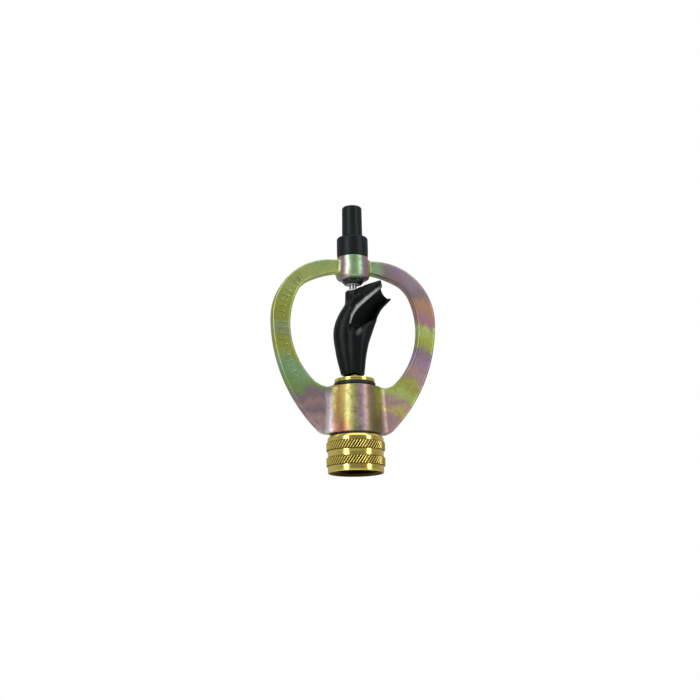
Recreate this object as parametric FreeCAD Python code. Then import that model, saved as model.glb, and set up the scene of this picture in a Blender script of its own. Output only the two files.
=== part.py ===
"""Whirling garden sprinkler: a cast ring yoke that holds a curved plastic rotor over an upright brass jet,
with a swivelling hose coupling at its foot and a long capped bearing at its head.

Millimetres, +Z up. The origin is the centre of the coupling's bottom face, and the sprinkler's axis is +Z.
The ring lies in the XZ plane, its front is -Y, and the rotor's mouth points to +X at rest.
"""

import FreeCAD
import Part

import math
import os

V = FreeCAD.Vector

# ---------------------------------------------------------------- driving sizes

# Clearances
THREAD_CLEARANCE = 0.05
RUNNING_CLEARANCE = 0.05
SEAT_CLEARANCE = 0.1
REST_GAP = 0.05
SWIVEL_CLEARANCE = 0.3
FLANGE_CLEARANCE = 0.8
CAVITY_CLEARANCE = 0.3
CORE_CLEARANCE = 0.6

# Hose coupling, for the 3/4 inch garden hose thread (26.99 mm over the male thread, 11.5 turns to the inch)
THREAD_MAJOR_R = 13.62
THREAD_DEPTH = 1.43
THREAD_LENGTH = 11.0
SEAT_DEPTH = 0.62
NUT_LENGTH = 19.4
NUT_WALL = 1.08
NUT_FLOOR = 2.8
NUT_TOP_NARROWING = 1.0
NUT_TOP_TAPER = 1.3
LIP_LENGTH = 3.4
KNURL_LENGTH = 4.8
KNURL_GAP = 3.2
KNURL_HEIGHT = 0.8
KNURL_BEVEL = 0.4
RIM_ROUND = 0.4

# Hose washer, held inside the coupling against the tail's flange
HOSE_WASHER_THICK = 3.0
HOSE_WASHER_STEP = 2.0

# Swivel tail: the brass tube that the coupling turns on
TAIL_BORE_R = 6.0
TAIL_WALL = 1.3
TAIL_SHOULDER = 1.0
TAIL_FLANGE_THICK = 2.2
TAIL_INLET_BEVEL = 1.0
TAIL_TOP_BELOW_BOSS = 1.0
SWIVEL_PLAY = 0.2

# Washers that seal the yoke between the tail and the jet
TAIL_WASHER_THICK = 0.9
TAIL_WASHER_LAP = 0.4
JET_WASHER_THICK = 2.0
JET_WASHER_LAP = 0.1

# Jet nozzle, screwed down into the tail
JET_FLANGE_INSET = 0.4
JET_FLANGE_THICK = 1.9
JET_FLANGE_BEVEL = 0.35
JET_COLLAR_WALL = 1.1
JET_COLLAR_HEIGHT = 1.2
JET_TIP_WALL = 0.8
JET_TIP_HEIGHT = 4.9
JET_SCREW_LENGTH = 14.0
JET_SCREW_WALL = 1.45
JET_ORIFICE_R = 2.0
JET_ORIFICE_LENGTH = 3.0

# Yoke casting
YOKE_THICK = 7.0
CASTING_ROUND = 1.1
BASE_BOSS_WALL = 3.7
BASE_BOSS_SPREAD = 1.7
BASE_BOSS_HEIGHT = 25.4
RING_HALF_WIDTH = 44.6
RING_SHOULDER_R = 32.4
RING_SIDE_R = 84.0
RING_FOOT_ROUND = 6.0
RING_BELOW_HEAD = 2.2
WINDOW_HALF_WIDTH = 34.9
WINDOW_BELOW_RING = 3.7
WINDOW_SIDE_R = 42.0
WINDOW_SHOULDER_R = 15.8
WINDOW_SHOULDER_ANGLE = 23.7
WINDOW_FOOT_R = 12.6
WINDOW_FOOT_ANGLE = 44.2
WINDOW_TOP_R = 56.3
HEAD_BOSS_WALL = 3.2
HEAD_BOSS_SPREAD = 1.0
HEAD_BOSS_HEIGHT = 12.6
HEAD_BOSS_ROUND = 2.5

# Raised foundry marks on the front of one arm: plain bars and pips, no letters
MARK_COUNT = 20
MARK_HEIGHT = 0.45
MARK_BAR_LENGTH = 4.2
MARK_BAR_WIDTH = 0.8
MARK_PIP_R = 0.55
MARK_HIGH = 24.0
MARK_PITCH = 3.0

# Spindle, pressed in the rotor and turning in two bushes
SPINDLE_R = 2.0
SPINDLE_HEAD_LAP = 1.3
SPINDLE_HEAD_HEIGHT = 2.0
SLOT_WIDTH = 0.8
SLOT_DEPTH = 1.0
WASHER_LAP = 1.6
WASHER_THICK = 0.8
BUSH_WALL = 1.05
BUSH_LENGTH = 5.0
ROTOR_LIFT = 1.2

# Bearing sleeve, up through the head of the yoke
SLEEVE_WALL = 1.9
SLEEVE_TOP_WALL = 0.7
SLEEVE_NUB_LAP = 0.7
SLEEVE_NUB_HEIGHT = 2.4
SLEEVE_NUB_TAPER = 1.3
SLEEVE_NUB_TIP_WALL = 1.4

# Cap screwed on the sleeve
CAP_COLLAR_WALL = 3.35
CAP_COLLAR_HEIGHT = 11.0
CAP_COLLAR_ROUND = 1.7
CAP_COLLAR_ROOF = 2.0
CAP_TUBE_WALL = 1.35
CAP_TUBE_LENGTH = 17.5
CAP_TUBE_TAPER = 0.15
CAP_TOP_ROUND = 1.5
CAP_TOP_THICK = 2.0
PAD_THICK = 1.2

# Rotor: its levels are heights above its foot
ROTOR_ABOVE_JET = 2.9
HUB_TOP = 44.8
HUB_TO_HEAD = 3.9
HUB_WALL = 2.5
HUB_BEVEL = 0.6
HUB_BEVEL_HEIGHT = 2.2
HUB_LENGTH = 9.0
HUB_CORE_WALL = 1.4
HUB_SOCKET_DEPTH = 6.0

# Stations of the rotor's bent body, from its foot to its mouth: centre x, centre height, heading above the
# horizontal, half width in the plane of the bend, half depth, squareness (2 is an ellipse), and wall
BODY_STATIONS = (
    (-0.9, 0.0, 90.0, 6.3, 5.9, 2.0, 1.6),
    (-1.5, 12.3, 90.0, 8.5, 6.7, 2.2, 2.0),
    (-0.6, 22.9, 78.0, 10.2, 7.2, 2.3, 2.0),
    (3.2, 31.7, 58.0, 9.7, 7.0, 2.4, 1.9),
    (9.4, 39.7, 43.0, 7.6, 6.3, 2.5, 1.7),
    (18.6, 46.9, 34.0, 5.6, 5.3, 2.6, 1.5),
)
SECTION_POINTS = 16
CHANNEL_RUN_OUT = 1.0
MOUTH_TOP = (14.6, 50.5)
MOUTH_BOTTOM = (20.6, 41.5)
MOUTH_HOLLOW = 1.7

# Opening in the front of the body, from above its closed foot to its mouth: corners (x, height, rounding)
FRONT_OPENING = (
    (-4.4, 23.3, 1.0),
    (2.1, 38.6, 34.0),
    (24.9, 52.9, 0.0),
    (25.2, 50.3, 0.0),
    (8.6, 24.9, 3.0),
    (1.6, 22.3, 1.5),
)
OPENING_FLOOR = 1.5

# Groove between the foot's two lobes
GROOVE_X = -1.4
GROOVE_R = 2.2
GROOVE_DEPTH = 0.7

# ---------------------------------------------------------------- radii worked out from the sizes above

THREAD_MINOR_R = THREAD_MAJOR_R - THREAD_DEPTH
SEAT_R = THREAD_MAJOR_R - SEAT_DEPTH
NUT_BODY_R = THREAD_MAJOR_R + NUT_WALL
KNURL_R = NUT_BODY_R + KNURL_HEIGHT
TAIL_STEM_R = TAIL_BORE_R + TAIL_WALL
TAIL_NECK_R = TAIL_STEM_R + TAIL_SHOULDER
BASE_BOSS_TOP_R = TAIL_STEM_R + BASE_BOSS_WALL
BASE_BOSS_BOTTOM_R = BASE_BOSS_TOP_R + BASE_BOSS_SPREAD
JET_FLANGE_R = BASE_BOSS_TOP_R - JET_FLANGE_INSET
JET_SCREW_R = TAIL_BORE_R - THREAD_CLEARANCE
JET_BORE_R = JET_SCREW_R - JET_SCREW_WALL
JET_COLLAR_R = JET_BORE_R + JET_COLLAR_WALL
JET_TIP_R = JET_ORIFICE_R + JET_TIP_WALL
SPINDLE_BORE_R = SPINDLE_R + RUNNING_CLEARANCE
BUSH_R = SPINDLE_BORE_R + BUSH_WALL
WASHER_R = SPINDLE_R + WASHER_LAP
SLEEVE_STEM_R = BUSH_R + SLEEVE_WALL
SLEEVE_UPPER_R = BUSH_R + SLEEVE_TOP_WALL
SLEEVE_NUB_R = SLEEVE_STEM_R + SLEEVE_NUB_LAP
HEAD_BOSS_TOP_R = SLEEVE_STEM_R + HEAD_BOSS_WALL
HEAD_BOSS_R = HEAD_BOSS_TOP_R + HEAD_BOSS_SPREAD
CAP_COLLAR_R = SLEEVE_STEM_R + THREAD_CLEARANCE + CAP_COLLAR_WALL
CAP_CAVITY_R = SLEEVE_UPPER_R + CAVITY_CLEARANCE
CAP_TUBE_R = CAP_CAVITY_R + CAP_TUBE_WALL
HUB_R = SPINDLE_R + HUB_WALL

# ---------------------------------------------------------------- levels worked out from the sizes above

NUT_FLOOR_Z = NUT_LENGTH - NUT_FLOOR
TAIL_FLANGE_TOP = NUT_FLOOR_Z - SEAT_CLEARANCE
TAIL_FLANGE_BOTTOM = TAIL_FLANGE_TOP - TAIL_FLANGE_THICK
HOSE_WASHER_TOP = TAIL_FLANGE_BOTTOM - SEAT_CLEARANCE
TAIL_STEP_Z = NUT_LENGTH + SWIVEL_PLAY
BOSS_BOTTOM = TAIL_STEP_Z + TAIL_WASHER_THICK
BOSS_TOP = BOSS_BOTTOM + BASE_BOSS_HEIGHT
TAIL_TOP = BOSS_TOP - TAIL_TOP_BELOW_BOSS
JET_FLANGE_BOTTOM = BOSS_TOP + JET_WASHER_THICK
JET_FLANGE_TOP = JET_FLANGE_BOTTOM + JET_FLANGE_THICK
JET_TOP = JET_FLANGE_TOP + JET_TIP_HEIGHT
ROTOR_FOOT = JET_FLANGE_TOP + ROTOR_ABOVE_JET
HUB_TOP_Z = ROTOR_FOOT + HUB_TOP
SOCKET_BOTTOM = HUB_TOP_Z - HUB_SOCKET_DEPTH
SLEEVE_BOTTOM = HUB_TOP_Z + HUB_TO_HEAD
HEAD_BOTTOM = SLEEVE_BOTTOM + SLEEVE_NUB_HEIGHT
HEAD_TOP = HEAD_BOTTOM + HEAD_BOSS_HEIGHT
RING_TOP = HEAD_TOP - RING_BELOW_HEAD
RING_WIDEST_Z = RING_TOP - RING_SHOULDER_R
WINDOW_WIDEST_Z = RING_WIDEST_Z - WINDOW_BELOW_RING
COLLAR_TOP = HEAD_TOP + CAP_COLLAR_HEIGHT
SLEEVE_STEP_Z = COLLAR_TOP - CAP_COLLAR_ROOF
CAP_TOP = COLLAR_TOP + CAP_TUBE_LENGTH
PAD_TOP = CAP_TOP - CAP_TOP_THICK
PAD_BOTTOM = PAD_TOP - PAD_THICK
SPINDLE_TOP = PAD_BOTTOM - REST_GAP - ROTOR_LIFT
SPINDLE_HEAD_BOTTOM = SPINDLE_TOP - SPINDLE_HEAD_HEIGHT
SLEEVE_TOP = SPINDLE_HEAD_BOTTOM - REST_GAP - WASHER_THICK


# ---------------------------------------------------------------- helpers


def rounded_face(corners):
    """A face in the XZ plane from corners (x, z, radius): a corner with a radius becomes a tangent arc."""
    points = [V(x, 0, z) for x, z, _ in corners]
    ends = []
    for i, (_, _, radius) in enumerate(corners):
        here = points[i]
        back = (points[i - 1] - here).normalize()
        ahead = (points[(i + 1) % len(points)] - here).normalize()
        if not radius:
            ends.append((here, None, here))
            continue
        half = back.getAngle(ahead) / 2
        run = radius / math.tan(half)
        middle = here + (back + ahead).normalize() * (radius / math.sin(half) - radius)
        ends.append((here + back * run, middle, here + ahead * run))
    edges = []
    for i, (start, middle, end) in enumerate(ends):
        if middle is not None:
            edges.append(Part.Arc(start, middle, end).toShape())
        following = ends[(i + 1) % len(ends)][0]
        if end.distanceToPoint(following) > 1e-6:
            edges.append(Part.LineSegment(end, following).toShape())
    return Part.Face(Part.Wire(edges))


def turned(*corners):
    """A solid turned about Z from the corners of its half section: (r, z) or (r, z, rounding radius)."""
    section = rounded_face([(c[0], c[1], c[2] if len(c) > 2 else 0) for c in corners])
    return section.revolve(V(), V(0, 0, 1), 360)


def cylinder(radius, low, high, x=0.0, y=0.0):
    return Part.makeCylinder(radius, high - low, V(x, y, low))


def ring(outer, inner, low, high):
    return cylinder(outer, low, high).cut(cylinder(inner, low - 1, high + 1))


def arc(centre, radius, start, end):
    """An arc in the XZ plane from one angle to another, in degrees from +X towards +Z."""

    def at(angle):
        a = math.radians(angle)
        return V(centre[0] + radius * math.cos(a), 0, centre[1] + radius * math.sin(a))

    return Part.Arc(at(start), at((start + end) / 2), at(end)).toShape()


def polar(centre, radius, angle):
    a = math.radians(angle)
    return (centre[0] + radius * math.cos(a), centre[1] + radius * math.sin(a))


def line(start, end):
    return Part.LineSegment(V(start[0], 0, start[1]), V(end[0], 0, end[1])).toShape()


def mirrored_face(half):
    """A face from the edges of its +X half, which start and end on the Z axis."""
    other = [e.mirror(V(), V(1, 0, 0)) for e in half]
    return Part.Face(Part.Wire(Part.__sortEdges__(half + other)))


# ---------------------------------------------------------------- hose end


def coupling_nut():
    """Knurled swivel nut: a lip, two raised bands with a groove between them, and a tapered shoulder."""
    top_r = NUT_BODY_R - NUT_TOP_NARROWING
    body = turned(
        (0, 0), (NUT_BODY_R, 0, RIM_ROUND), (NUT_BODY_R, NUT_LENGTH - NUT_TOP_TAPER),
        (top_r, NUT_LENGTH, RIM_ROUND), (0, NUT_LENGTH),
    )
    for low in (LIP_LENGTH, LIP_LENGTH + KNURL_LENGTH + KNURL_GAP):
        high = low + KNURL_LENGTH
        body = body.fuse(turned(
            (0, low), (KNURL_R - KNURL_BEVEL, low), (KNURL_R, low + KNURL_BEVEL),
            (KNURL_R, high - KNURL_BEVEL), (KNURL_R - KNURL_BEVEL, high), (0, high),
        ))
    hollow = turned(
        (0, -1), (THREAD_MAJOR_R + 1, -1), (THREAD_MINOR_R, THREAD_DEPTH), (THREAD_MINOR_R, THREAD_LENGTH),
        (SEAT_R, THREAD_LENGTH), (SEAT_R, NUT_FLOOR_Z), (0, NUT_FLOOR_Z),
    )
    neck = cylinder(TAIL_NECK_R + SWIVEL_CLEARANCE, 0, NUT_LENGTH + 1)
    return body.cut(hollow).cut(neck).removeSplitter()


def hose_washer():
    outer = SEAT_R - SWIVEL_CLEARANCE
    return ring(outer, TAIL_BORE_R + HOSE_WASHER_STEP, HOSE_WASHER_TOP - HOSE_WASHER_THICK, HOSE_WASHER_TOP)


def swivel_tail():
    """Flange that the nut pulls up, neck that it turns on, step on the washer, and a threaded stem."""
    flange_r = SEAT_R - FLANGE_CLEARANCE
    body = turned(
        (0, TAIL_FLANGE_BOTTOM), (flange_r, TAIL_FLANGE_BOTTOM, RIM_ROUND),
        (flange_r, TAIL_FLANGE_TOP, RIM_ROUND), (TAIL_NECK_R, TAIL_FLANGE_TOP),
        (TAIL_NECK_R, TAIL_STEP_Z), (TAIL_STEM_R, TAIL_STEP_Z),
        (TAIL_STEM_R, TAIL_TOP, RIM_ROUND), (0, TAIL_TOP),
    )
    waterway = turned(
        (0, TAIL_FLANGE_BOTTOM - 1), (TAIL_BORE_R + TAIL_INLET_BEVEL + 1, TAIL_FLANGE_BOTTOM - 1),
        (TAIL_BORE_R, TAIL_FLANGE_BOTTOM + TAIL_INLET_BEVEL), (TAIL_BORE_R, TAIL_TOP + 1),
        (0, TAIL_TOP + 1),
    )
    return body.cut(waterway)


def tail_washer():
    outer = BASE_BOSS_BOTTOM_R + TAIL_WASHER_LAP
    return ring(outer, TAIL_STEM_R + SEAT_CLEARANCE, TAIL_STEP_Z, BOSS_BOTTOM)


def jet_nozzle():
    """Round flange with a raised collar and a tapered tip, and a stem that screws down into the tail."""
    screw_bottom = BOSS_TOP - JET_SCREW_LENGTH
    collar_top = JET_FLANGE_TOP + JET_COLLAR_HEIGHT
    body = turned(
        (0, screw_bottom), (JET_SCREW_R, screw_bottom, RIM_ROUND), (JET_SCREW_R, JET_FLANGE_BOTTOM),
        (JET_FLANGE_R, JET_FLANGE_BOTTOM), (JET_FLANGE_R, JET_FLANGE_TOP, JET_FLANGE_BEVEL),
        (JET_COLLAR_R, JET_FLANGE_TOP), (JET_COLLAR_R - RIM_ROUND, collar_top),
        (JET_TIP_R, collar_top), (JET_TIP_R, JET_TOP, RIM_ROUND), (0, JET_TOP),
    )
    waterway = turned(
        (0, screw_bottom - 1), (JET_BORE_R, screw_bottom - 1), (JET_BORE_R, BOSS_TOP),
        (JET_ORIFICE_R, JET_TOP - JET_ORIFICE_LENGTH), (JET_ORIFICE_R, JET_TOP + 1), (0, JET_TOP + 1),
    )
    return body.cut(waterway)


def jet_washer():
    return ring(BASE_BOSS_TOP_R + JET_WASHER_LAP, TAIL_STEM_R + SEAT_CLEARANCE, BOSS_TOP, JET_FLANGE_BOTTOM)


# ---------------------------------------------------------------- yoke


def ring_outline():
    """Outer edge of the casting: a flat crown, round shoulders, and long sides that draw in to the base."""
    shoulder = (RING_HALF_WIDTH - RING_SHOULDER_R, RING_WIDEST_Z)
    side = (RING_HALF_WIDTH - RING_SIDE_R, RING_WIDEST_Z)
    foot_z = BOSS_BOTTOM + RING_FOOT_ROUND
    foot_x = side[0] + math.sqrt((RING_SIDE_R - RING_FOOT_ROUND) ** 2 - (foot_z - side[1]) ** 2)
    meet = math.degrees(math.atan2(foot_z - side[1], foot_x - side[0]))
    return mirrored_face([
        line((0, RING_TOP), (shoulder[0], RING_TOP)),
        arc(shoulder, RING_SHOULDER_R, 90, 0),
        arc(side, RING_SIDE_R, 0, meet),
        arc((foot_x, foot_z), RING_FOOT_ROUND, meet, -90),
        line((foot_x, BOSS_BOTTOM), (0, BOSS_BOTTOM)),
    ])


def window_outline():
    """The egg-shaped opening that the rotor turns in."""
    side = (WINDOW_HALF_WIDTH - WINDOW_SIDE_R, WINDOW_WIDEST_Z)
    shoulder = polar(side, WINDOW_SIDE_R - WINDOW_SHOULDER_R, WINDOW_SHOULDER_ANGLE)
    foot = polar(side, WINDOW_SIDE_R - WINDOW_FOOT_R, -WINDOW_FOOT_ANGLE)
    rise = math.sqrt((WINDOW_TOP_R - WINDOW_SHOULDER_R) ** 2 - shoulder[0] ** 2)
    meet = math.degrees(math.atan2(rise, shoulder[0]))
    sill = foot[1] - WINDOW_FOOT_R
    return mirrored_face([
        arc((0, shoulder[1] - rise), WINDOW_TOP_R, 90, meet),
        arc(shoulder, WINDOW_SHOULDER_R, meet, WINDOW_SHOULDER_ANGLE),
        arc(side, WINDOW_SIDE_R, WINDOW_SHOULDER_ANGLE, -WINDOW_FOOT_ANGLE),
        arc(foot, WINDOW_FOOT_R, -WINDOW_FOOT_ANGLE, -90),
        line((foot[0], sill), (0, sill)),
    ])


def foundry_marks():
    """Bars and pips raised from the front face, evenly spaced along the middle of the -X arm."""
    inset = (RING_HALF_WIDTH - WINDOW_HALF_WIDTH) / 2
    front = -YOKE_THICK / 2
    marks = []
    for i in range(MARK_COUNT):
        along = MARK_HIGH - MARK_PITCH * i
        arm_r = RING_SHOULDER_R if along > 0 else RING_SIDE_R
        centre = (arm_r - RING_HALF_WIDTH, RING_WIDEST_Z)
        middle_r = arm_r - inset
        angle = 180 - math.degrees(along / middle_r)
        if i % 3 == 2:
            for side in (-1, 1):
                x, z = polar(centre, middle_r + side * MARK_BAR_LENGTH / 4, angle)
                low = V(x, front + MARK_HEIGHT, z)
                marks.append(Part.makeCylinder(MARK_PIP_R, 2 * MARK_HEIGHT, low, V(0, -1, 0)))
        else:
            x, z = polar(centre, middle_r, angle)
            bar = Part.makeBox(MARK_BAR_LENGTH, 2 * MARK_HEIGHT, MARK_BAR_WIDTH)
            bar.translate(V(-MARK_BAR_LENGTH / 2, -MARK_HEIGHT, -MARK_BAR_WIDTH / 2))
            bar.rotate(V(), V(0, 1, 0), -angle)
            bar.translate(V(x, front, z))
            marks.append(bar)
    return marks


def yoke():
    """Ring plate with rounded rims, tapered boss at its foot, round boss at its head, and both bores."""
    plate = ring_outline().cut(window_outline()).Faces[0].extrude(V(0, YOKE_THICK, 0))
    plate.translate(V(0, -YOKE_THICK / 2, 0))
    rims = [e for e in plate.Edges if abs(e.CenterOfMass.y) > YOKE_THICK / 2 - 1e-3]
    plate = plate.makeFillet(CASTING_ROUND, rims)
    base = turned(
        (0, BOSS_BOTTOM), (BASE_BOSS_BOTTOM_R, BOSS_BOTTOM, RIM_ROUND),
        (BASE_BOSS_TOP_R, BOSS_TOP, RIM_ROUND), (0, BOSS_TOP),
    )
    head = turned(
        (0, HEAD_BOTTOM), (HEAD_BOSS_R, HEAD_BOTTOM, HEAD_BOSS_ROUND),
        (HEAD_BOSS_TOP_R, HEAD_TOP, RIM_ROUND), (0, HEAD_TOP),
    )
    body = plate.fuse([base, head] + foundry_marks())
    tail_bore = cylinder(TAIL_STEM_R + THREAD_CLEARANCE, BOSS_BOTTOM - 1, BOSS_TOP + 1)
    sleeve_bore = cylinder(SLEEVE_STEM_R + THREAD_CLEARANCE, HEAD_BOTTOM - 1, HEAD_TOP + 1)
    return body.cut([tail_bore, sleeve_bore])


# ---------------------------------------------------------------- head bearing


def bearing_sleeve():
    """Tapered nub under the head, stem up into the cap's thread, and a narrower top in the cap."""
    body = turned(
        (0, SLEEVE_BOTTOM), (BUSH_R + SLEEVE_NUB_TIP_WALL, SLEEVE_BOTTOM, RIM_ROUND),
        (SLEEVE_NUB_R, SLEEVE_BOTTOM + SLEEVE_NUB_TAPER), (SLEEVE_NUB_R, HEAD_BOTTOM),
        (SLEEVE_STEM_R, HEAD_BOTTOM), (SLEEVE_STEM_R, SLEEVE_STEP_Z),
        (SLEEVE_UPPER_R, SLEEVE_STEP_Z), (SLEEVE_UPPER_R, SLEEVE_TOP), (0, SLEEVE_TOP),
    )
    core = cylinder(SPINDLE_R + CORE_CLEARANCE, SLEEVE_BOTTOM - 1, SLEEVE_TOP + 1)
    low_seat = cylinder(BUSH_R, SLEEVE_BOTTOM - 1, SLEEVE_BOTTOM + BUSH_LENGTH)
    high_seat = cylinder(BUSH_R, SLEEVE_TOP - BUSH_LENGTH, SLEEVE_TOP + 1)
    return body.cut([core, low_seat, high_seat])


def lower_bush():
    return ring(BUSH_R, SPINDLE_BORE_R, SLEEVE_BOTTOM, SLEEVE_BOTTOM + BUSH_LENGTH)


def upper_bush():
    return ring(BUSH_R, SPINDLE_BORE_R, SLEEVE_TOP - BUSH_LENGTH, SLEEVE_TOP)


def head_washer():
    return ring(WASHER_R, SPINDLE_R + SEAT_CLEARANCE, SLEEVE_TOP, SLEEVE_TOP + WASHER_THICK)


def top_cap():
    """Collar with a threaded bore, and a closed tube on it that covers the spindle's head."""
    body = turned(
        (0, HEAD_TOP), (CAP_COLLAR_R, HEAD_TOP, RIM_ROUND),
        (CAP_COLLAR_R, COLLAR_TOP, CAP_COLLAR_ROUND), (CAP_TUBE_R, COLLAR_TOP, RIM_ROUND),
        (CAP_TUBE_R - CAP_TUBE_TAPER, CAP_TOP, CAP_TOP_ROUND), (0, CAP_TOP),
    )
    thread = cylinder(SLEEVE_STEM_R + THREAD_CLEARANCE, HEAD_TOP - 1, SLEEVE_STEP_Z + CAVITY_CLEARANCE)
    cavity = cylinder(CAP_CAVITY_R, HEAD_TOP, PAD_TOP)
    return body.cut([thread, cavity])


def thrust_pad():
    return cylinder(CAP_CAVITY_R - RUNNING_CLEARANCE, PAD_BOTTOM, PAD_TOP)


# ---------------------------------------------------------------- rotor


def station_wire(station, inset=0.0, ahead=0.0):
    """One cross-section of the bent body, square to its heading and pulled in by a share of its wall."""
    x, height, heading, half_width, half_depth, squareness, wall = station
    angle = math.radians(heading)
    along = V(math.cos(angle), 0, math.sin(angle))
    across = V(-math.sin(angle), 0, math.cos(angle))
    centre = V(x, 0, ROTOR_FOOT + height) + along * ahead
    points = []
    for i in range(SECTION_POINTS):
        a = 2 * math.pi * i / SECTION_POINTS
        c, d = math.cos(a), math.sin(a)
        u = math.copysign(abs(c) ** (2 / squareness), c) * (half_width - wall * inset)
        v = math.copysign(abs(d) ** (2 / squareness), d) * (half_depth - wall * inset)
        points.append(centre + across * u + V(0, v, 0))
    curve = Part.BSplineCurve()
    curve.interpolate(points, PeriodicFlag=True)
    return Part.Wire(curve.toShape())


def rotor_body():
    return Part.makeLoft([station_wire(s) for s in BODY_STATIONS], True)


def rotor_channel():
    """The water's way: the body less its wall, run past the foot and the mouth."""
    run_out = [-CHANNEL_RUN_OUT] + [0.0] * (len(BODY_STATIONS) - 2) + [CHANNEL_RUN_OUT]
    return Part.makeLoft([station_wire(s, 1.0, a) for s, a in zip(BODY_STATIONS, run_out)], True)


def rotor_mouth():
    """Cutter that leaves the mouth's end hollow between its two tips, and takes away all beyond it."""
    top = V(MOUTH_TOP[0], 0, ROTOR_FOOT + MOUTH_TOP[1])
    bottom = V(MOUTH_BOTTOM[0], 0, ROTOR_FOOT + MOUTH_BOTTOM[1])
    chord = bottom - top
    outward = V(-chord.z, 0, chord.x).normalize()
    deepest = (top + bottom) * 0.5 - outward * MOUTH_HOLLOW
    far_bottom = bottom + chord + outward * chord.Length
    far_top = top - chord + outward * chord.Length
    edges = [
        Part.Arc(top, deepest, bottom).toShape(),
        Part.LineSegment(bottom, far_bottom).toShape(),
        Part.LineSegment(far_bottom, far_top).toShape(),
        Part.LineSegment(far_top, top).toShape(),
    ]
    depth = 2 * chord.Length
    cutter = Part.Face(Part.Wire(edges)).extrude(V(0, depth, 0))
    cutter.translate(V(0, -depth / 2, 0))
    return cutter


def front_opening():
    deepest_body = max(s[4] for s in BODY_STATIONS)
    outline = [(x, ROTOR_FOOT + height, radius) for x, height, radius in FRONT_OPENING]
    cutter = rounded_face(outline).extrude(V(0, -2 * deepest_body, 0))
    cutter.translate(V(0, -OPENING_FLOOR, 0))
    return cutter


def head_room():
    """Cutter that keeps the scoop's roof clear of the hub's washer, and of the nub when the rotor is up."""
    nub_level = SLEEVE_BOTTOM - ROTOR_LIFT - SWIVEL_CLEARANCE
    washer_room = cylinder(WASHER_R + SWIVEL_CLEARANCE, HUB_TOP_Z, SLEEVE_BOTTOM)
    return washer_room.fuse(cylinder(SLEEVE_NUB_R + SWIVEL_CLEARANCE, nub_level, HEAD_BOTTOM))


def rotor():
    """Bent, hollow scoop with a hub on the axis above it: a tube at its foot, open in front at its mouth."""
    hub_root = HUB_TOP_Z - HUB_LENGTH
    hub = turned(
        (0, hub_root), (HUB_R, hub_root), (HUB_R, HUB_TOP_Z - HUB_BEVEL_HEIGHT),
        (HUB_R - HUB_BEVEL, HUB_TOP_Z), (0, HUB_TOP_Z),
    )
    core_r = SPINDLE_R + HUB_CORE_WALL
    core = turned((0, hub_root), (core_r, hub_root, 2 * RIM_ROUND), (core_r, HUB_TOP_Z), (0, HUB_TOP_Z))
    shell = rotor_body().fuse(hub).cut(rotor_channel()).fuse(core)
    groove_y = GROOVE_DEPTH - GROOVE_R - BODY_STATIONS[1][4]
    groove_top = ROTOR_FOOT + FRONT_OPENING[0][1]
    groove = cylinder(GROOVE_R, ROTOR_FOOT - 1, groove_top, GROOVE_X, groove_y)
    socket = cylinder(SPINDLE_R, SOCKET_BOTTOM, HUB_TOP_Z + 1)
    return shell.cut([rotor_mouth(), front_opening(), head_room(), groove, socket])


def rotor_spindle():
    """Steel pin with a slotted cheese head at its top."""
    head_r = SPINDLE_R + SPINDLE_HEAD_LAP
    body = turned(
        (0, SOCKET_BOTTOM), (SPINDLE_R, SOCKET_BOTTOM, RIM_ROUND), (SPINDLE_R, SPINDLE_HEAD_BOTTOM),
        (head_r, SPINDLE_HEAD_BOTTOM), (head_r, SPINDLE_TOP, RIM_ROUND), (0, SPINDLE_TOP),
    )
    corner = V(-2 * head_r, -SLOT_WIDTH / 2, SPINDLE_TOP - SLOT_DEPTH)
    return body.cut(Part.makeBox(4 * head_r, SLOT_WIDTH, 2 * SLOT_DEPTH, corner))


def hub_washer():
    bottom = HUB_TOP_Z + REST_GAP
    return ring(WASHER_R, SPINDLE_R + SEAT_CLEARANCE, bottom, bottom + WASHER_THICK)


# ---------------------------------------------------------------- all pieces

PIECES = (
    coupling_nut,
    hose_washer,
    swivel_tail,
    tail_washer,
    jet_nozzle,
    jet_washer,
    yoke,
    bearing_sleeve,
    lower_bush,
    upper_bush,
    head_washer,
    thrust_pad,
    top_cap,
    rotor,
    rotor_spindle,
    hub_washer,
)

os.makedirs("parts", exist_ok=True)
for make in PIECES:
    shape = make()
    print(make.__name__, shape.isValid(), len(shape.Solids), round(shape.Volume, 1))
    shape.exportStep("parts/" + make.__name__ + ".step")
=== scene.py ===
"""Looks for the ring sprinkler: finer meshes, procedural materials, studio and camera, as an add-on."""

import math

import bpy
import numpy as np
from mathutils import Matrix, Vector


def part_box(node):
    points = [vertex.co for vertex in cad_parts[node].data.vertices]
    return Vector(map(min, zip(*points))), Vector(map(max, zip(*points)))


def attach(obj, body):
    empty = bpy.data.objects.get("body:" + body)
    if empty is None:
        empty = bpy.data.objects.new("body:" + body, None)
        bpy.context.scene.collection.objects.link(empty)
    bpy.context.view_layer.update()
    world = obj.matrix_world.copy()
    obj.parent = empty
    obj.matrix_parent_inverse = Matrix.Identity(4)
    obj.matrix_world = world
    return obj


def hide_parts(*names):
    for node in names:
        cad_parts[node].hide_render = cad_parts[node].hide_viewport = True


bl_info = {
    "name": "Ring Sprinkler Looks",
    "version": (1, 0, 0),
    "blender": (4, 5, 0),
    "location": "View3D > Sidebar > Sprinkler",
    "description": "Builds the visible pieces of the ring sprinkler round its packed CAD frame",
    "category": "Object",
}

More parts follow.
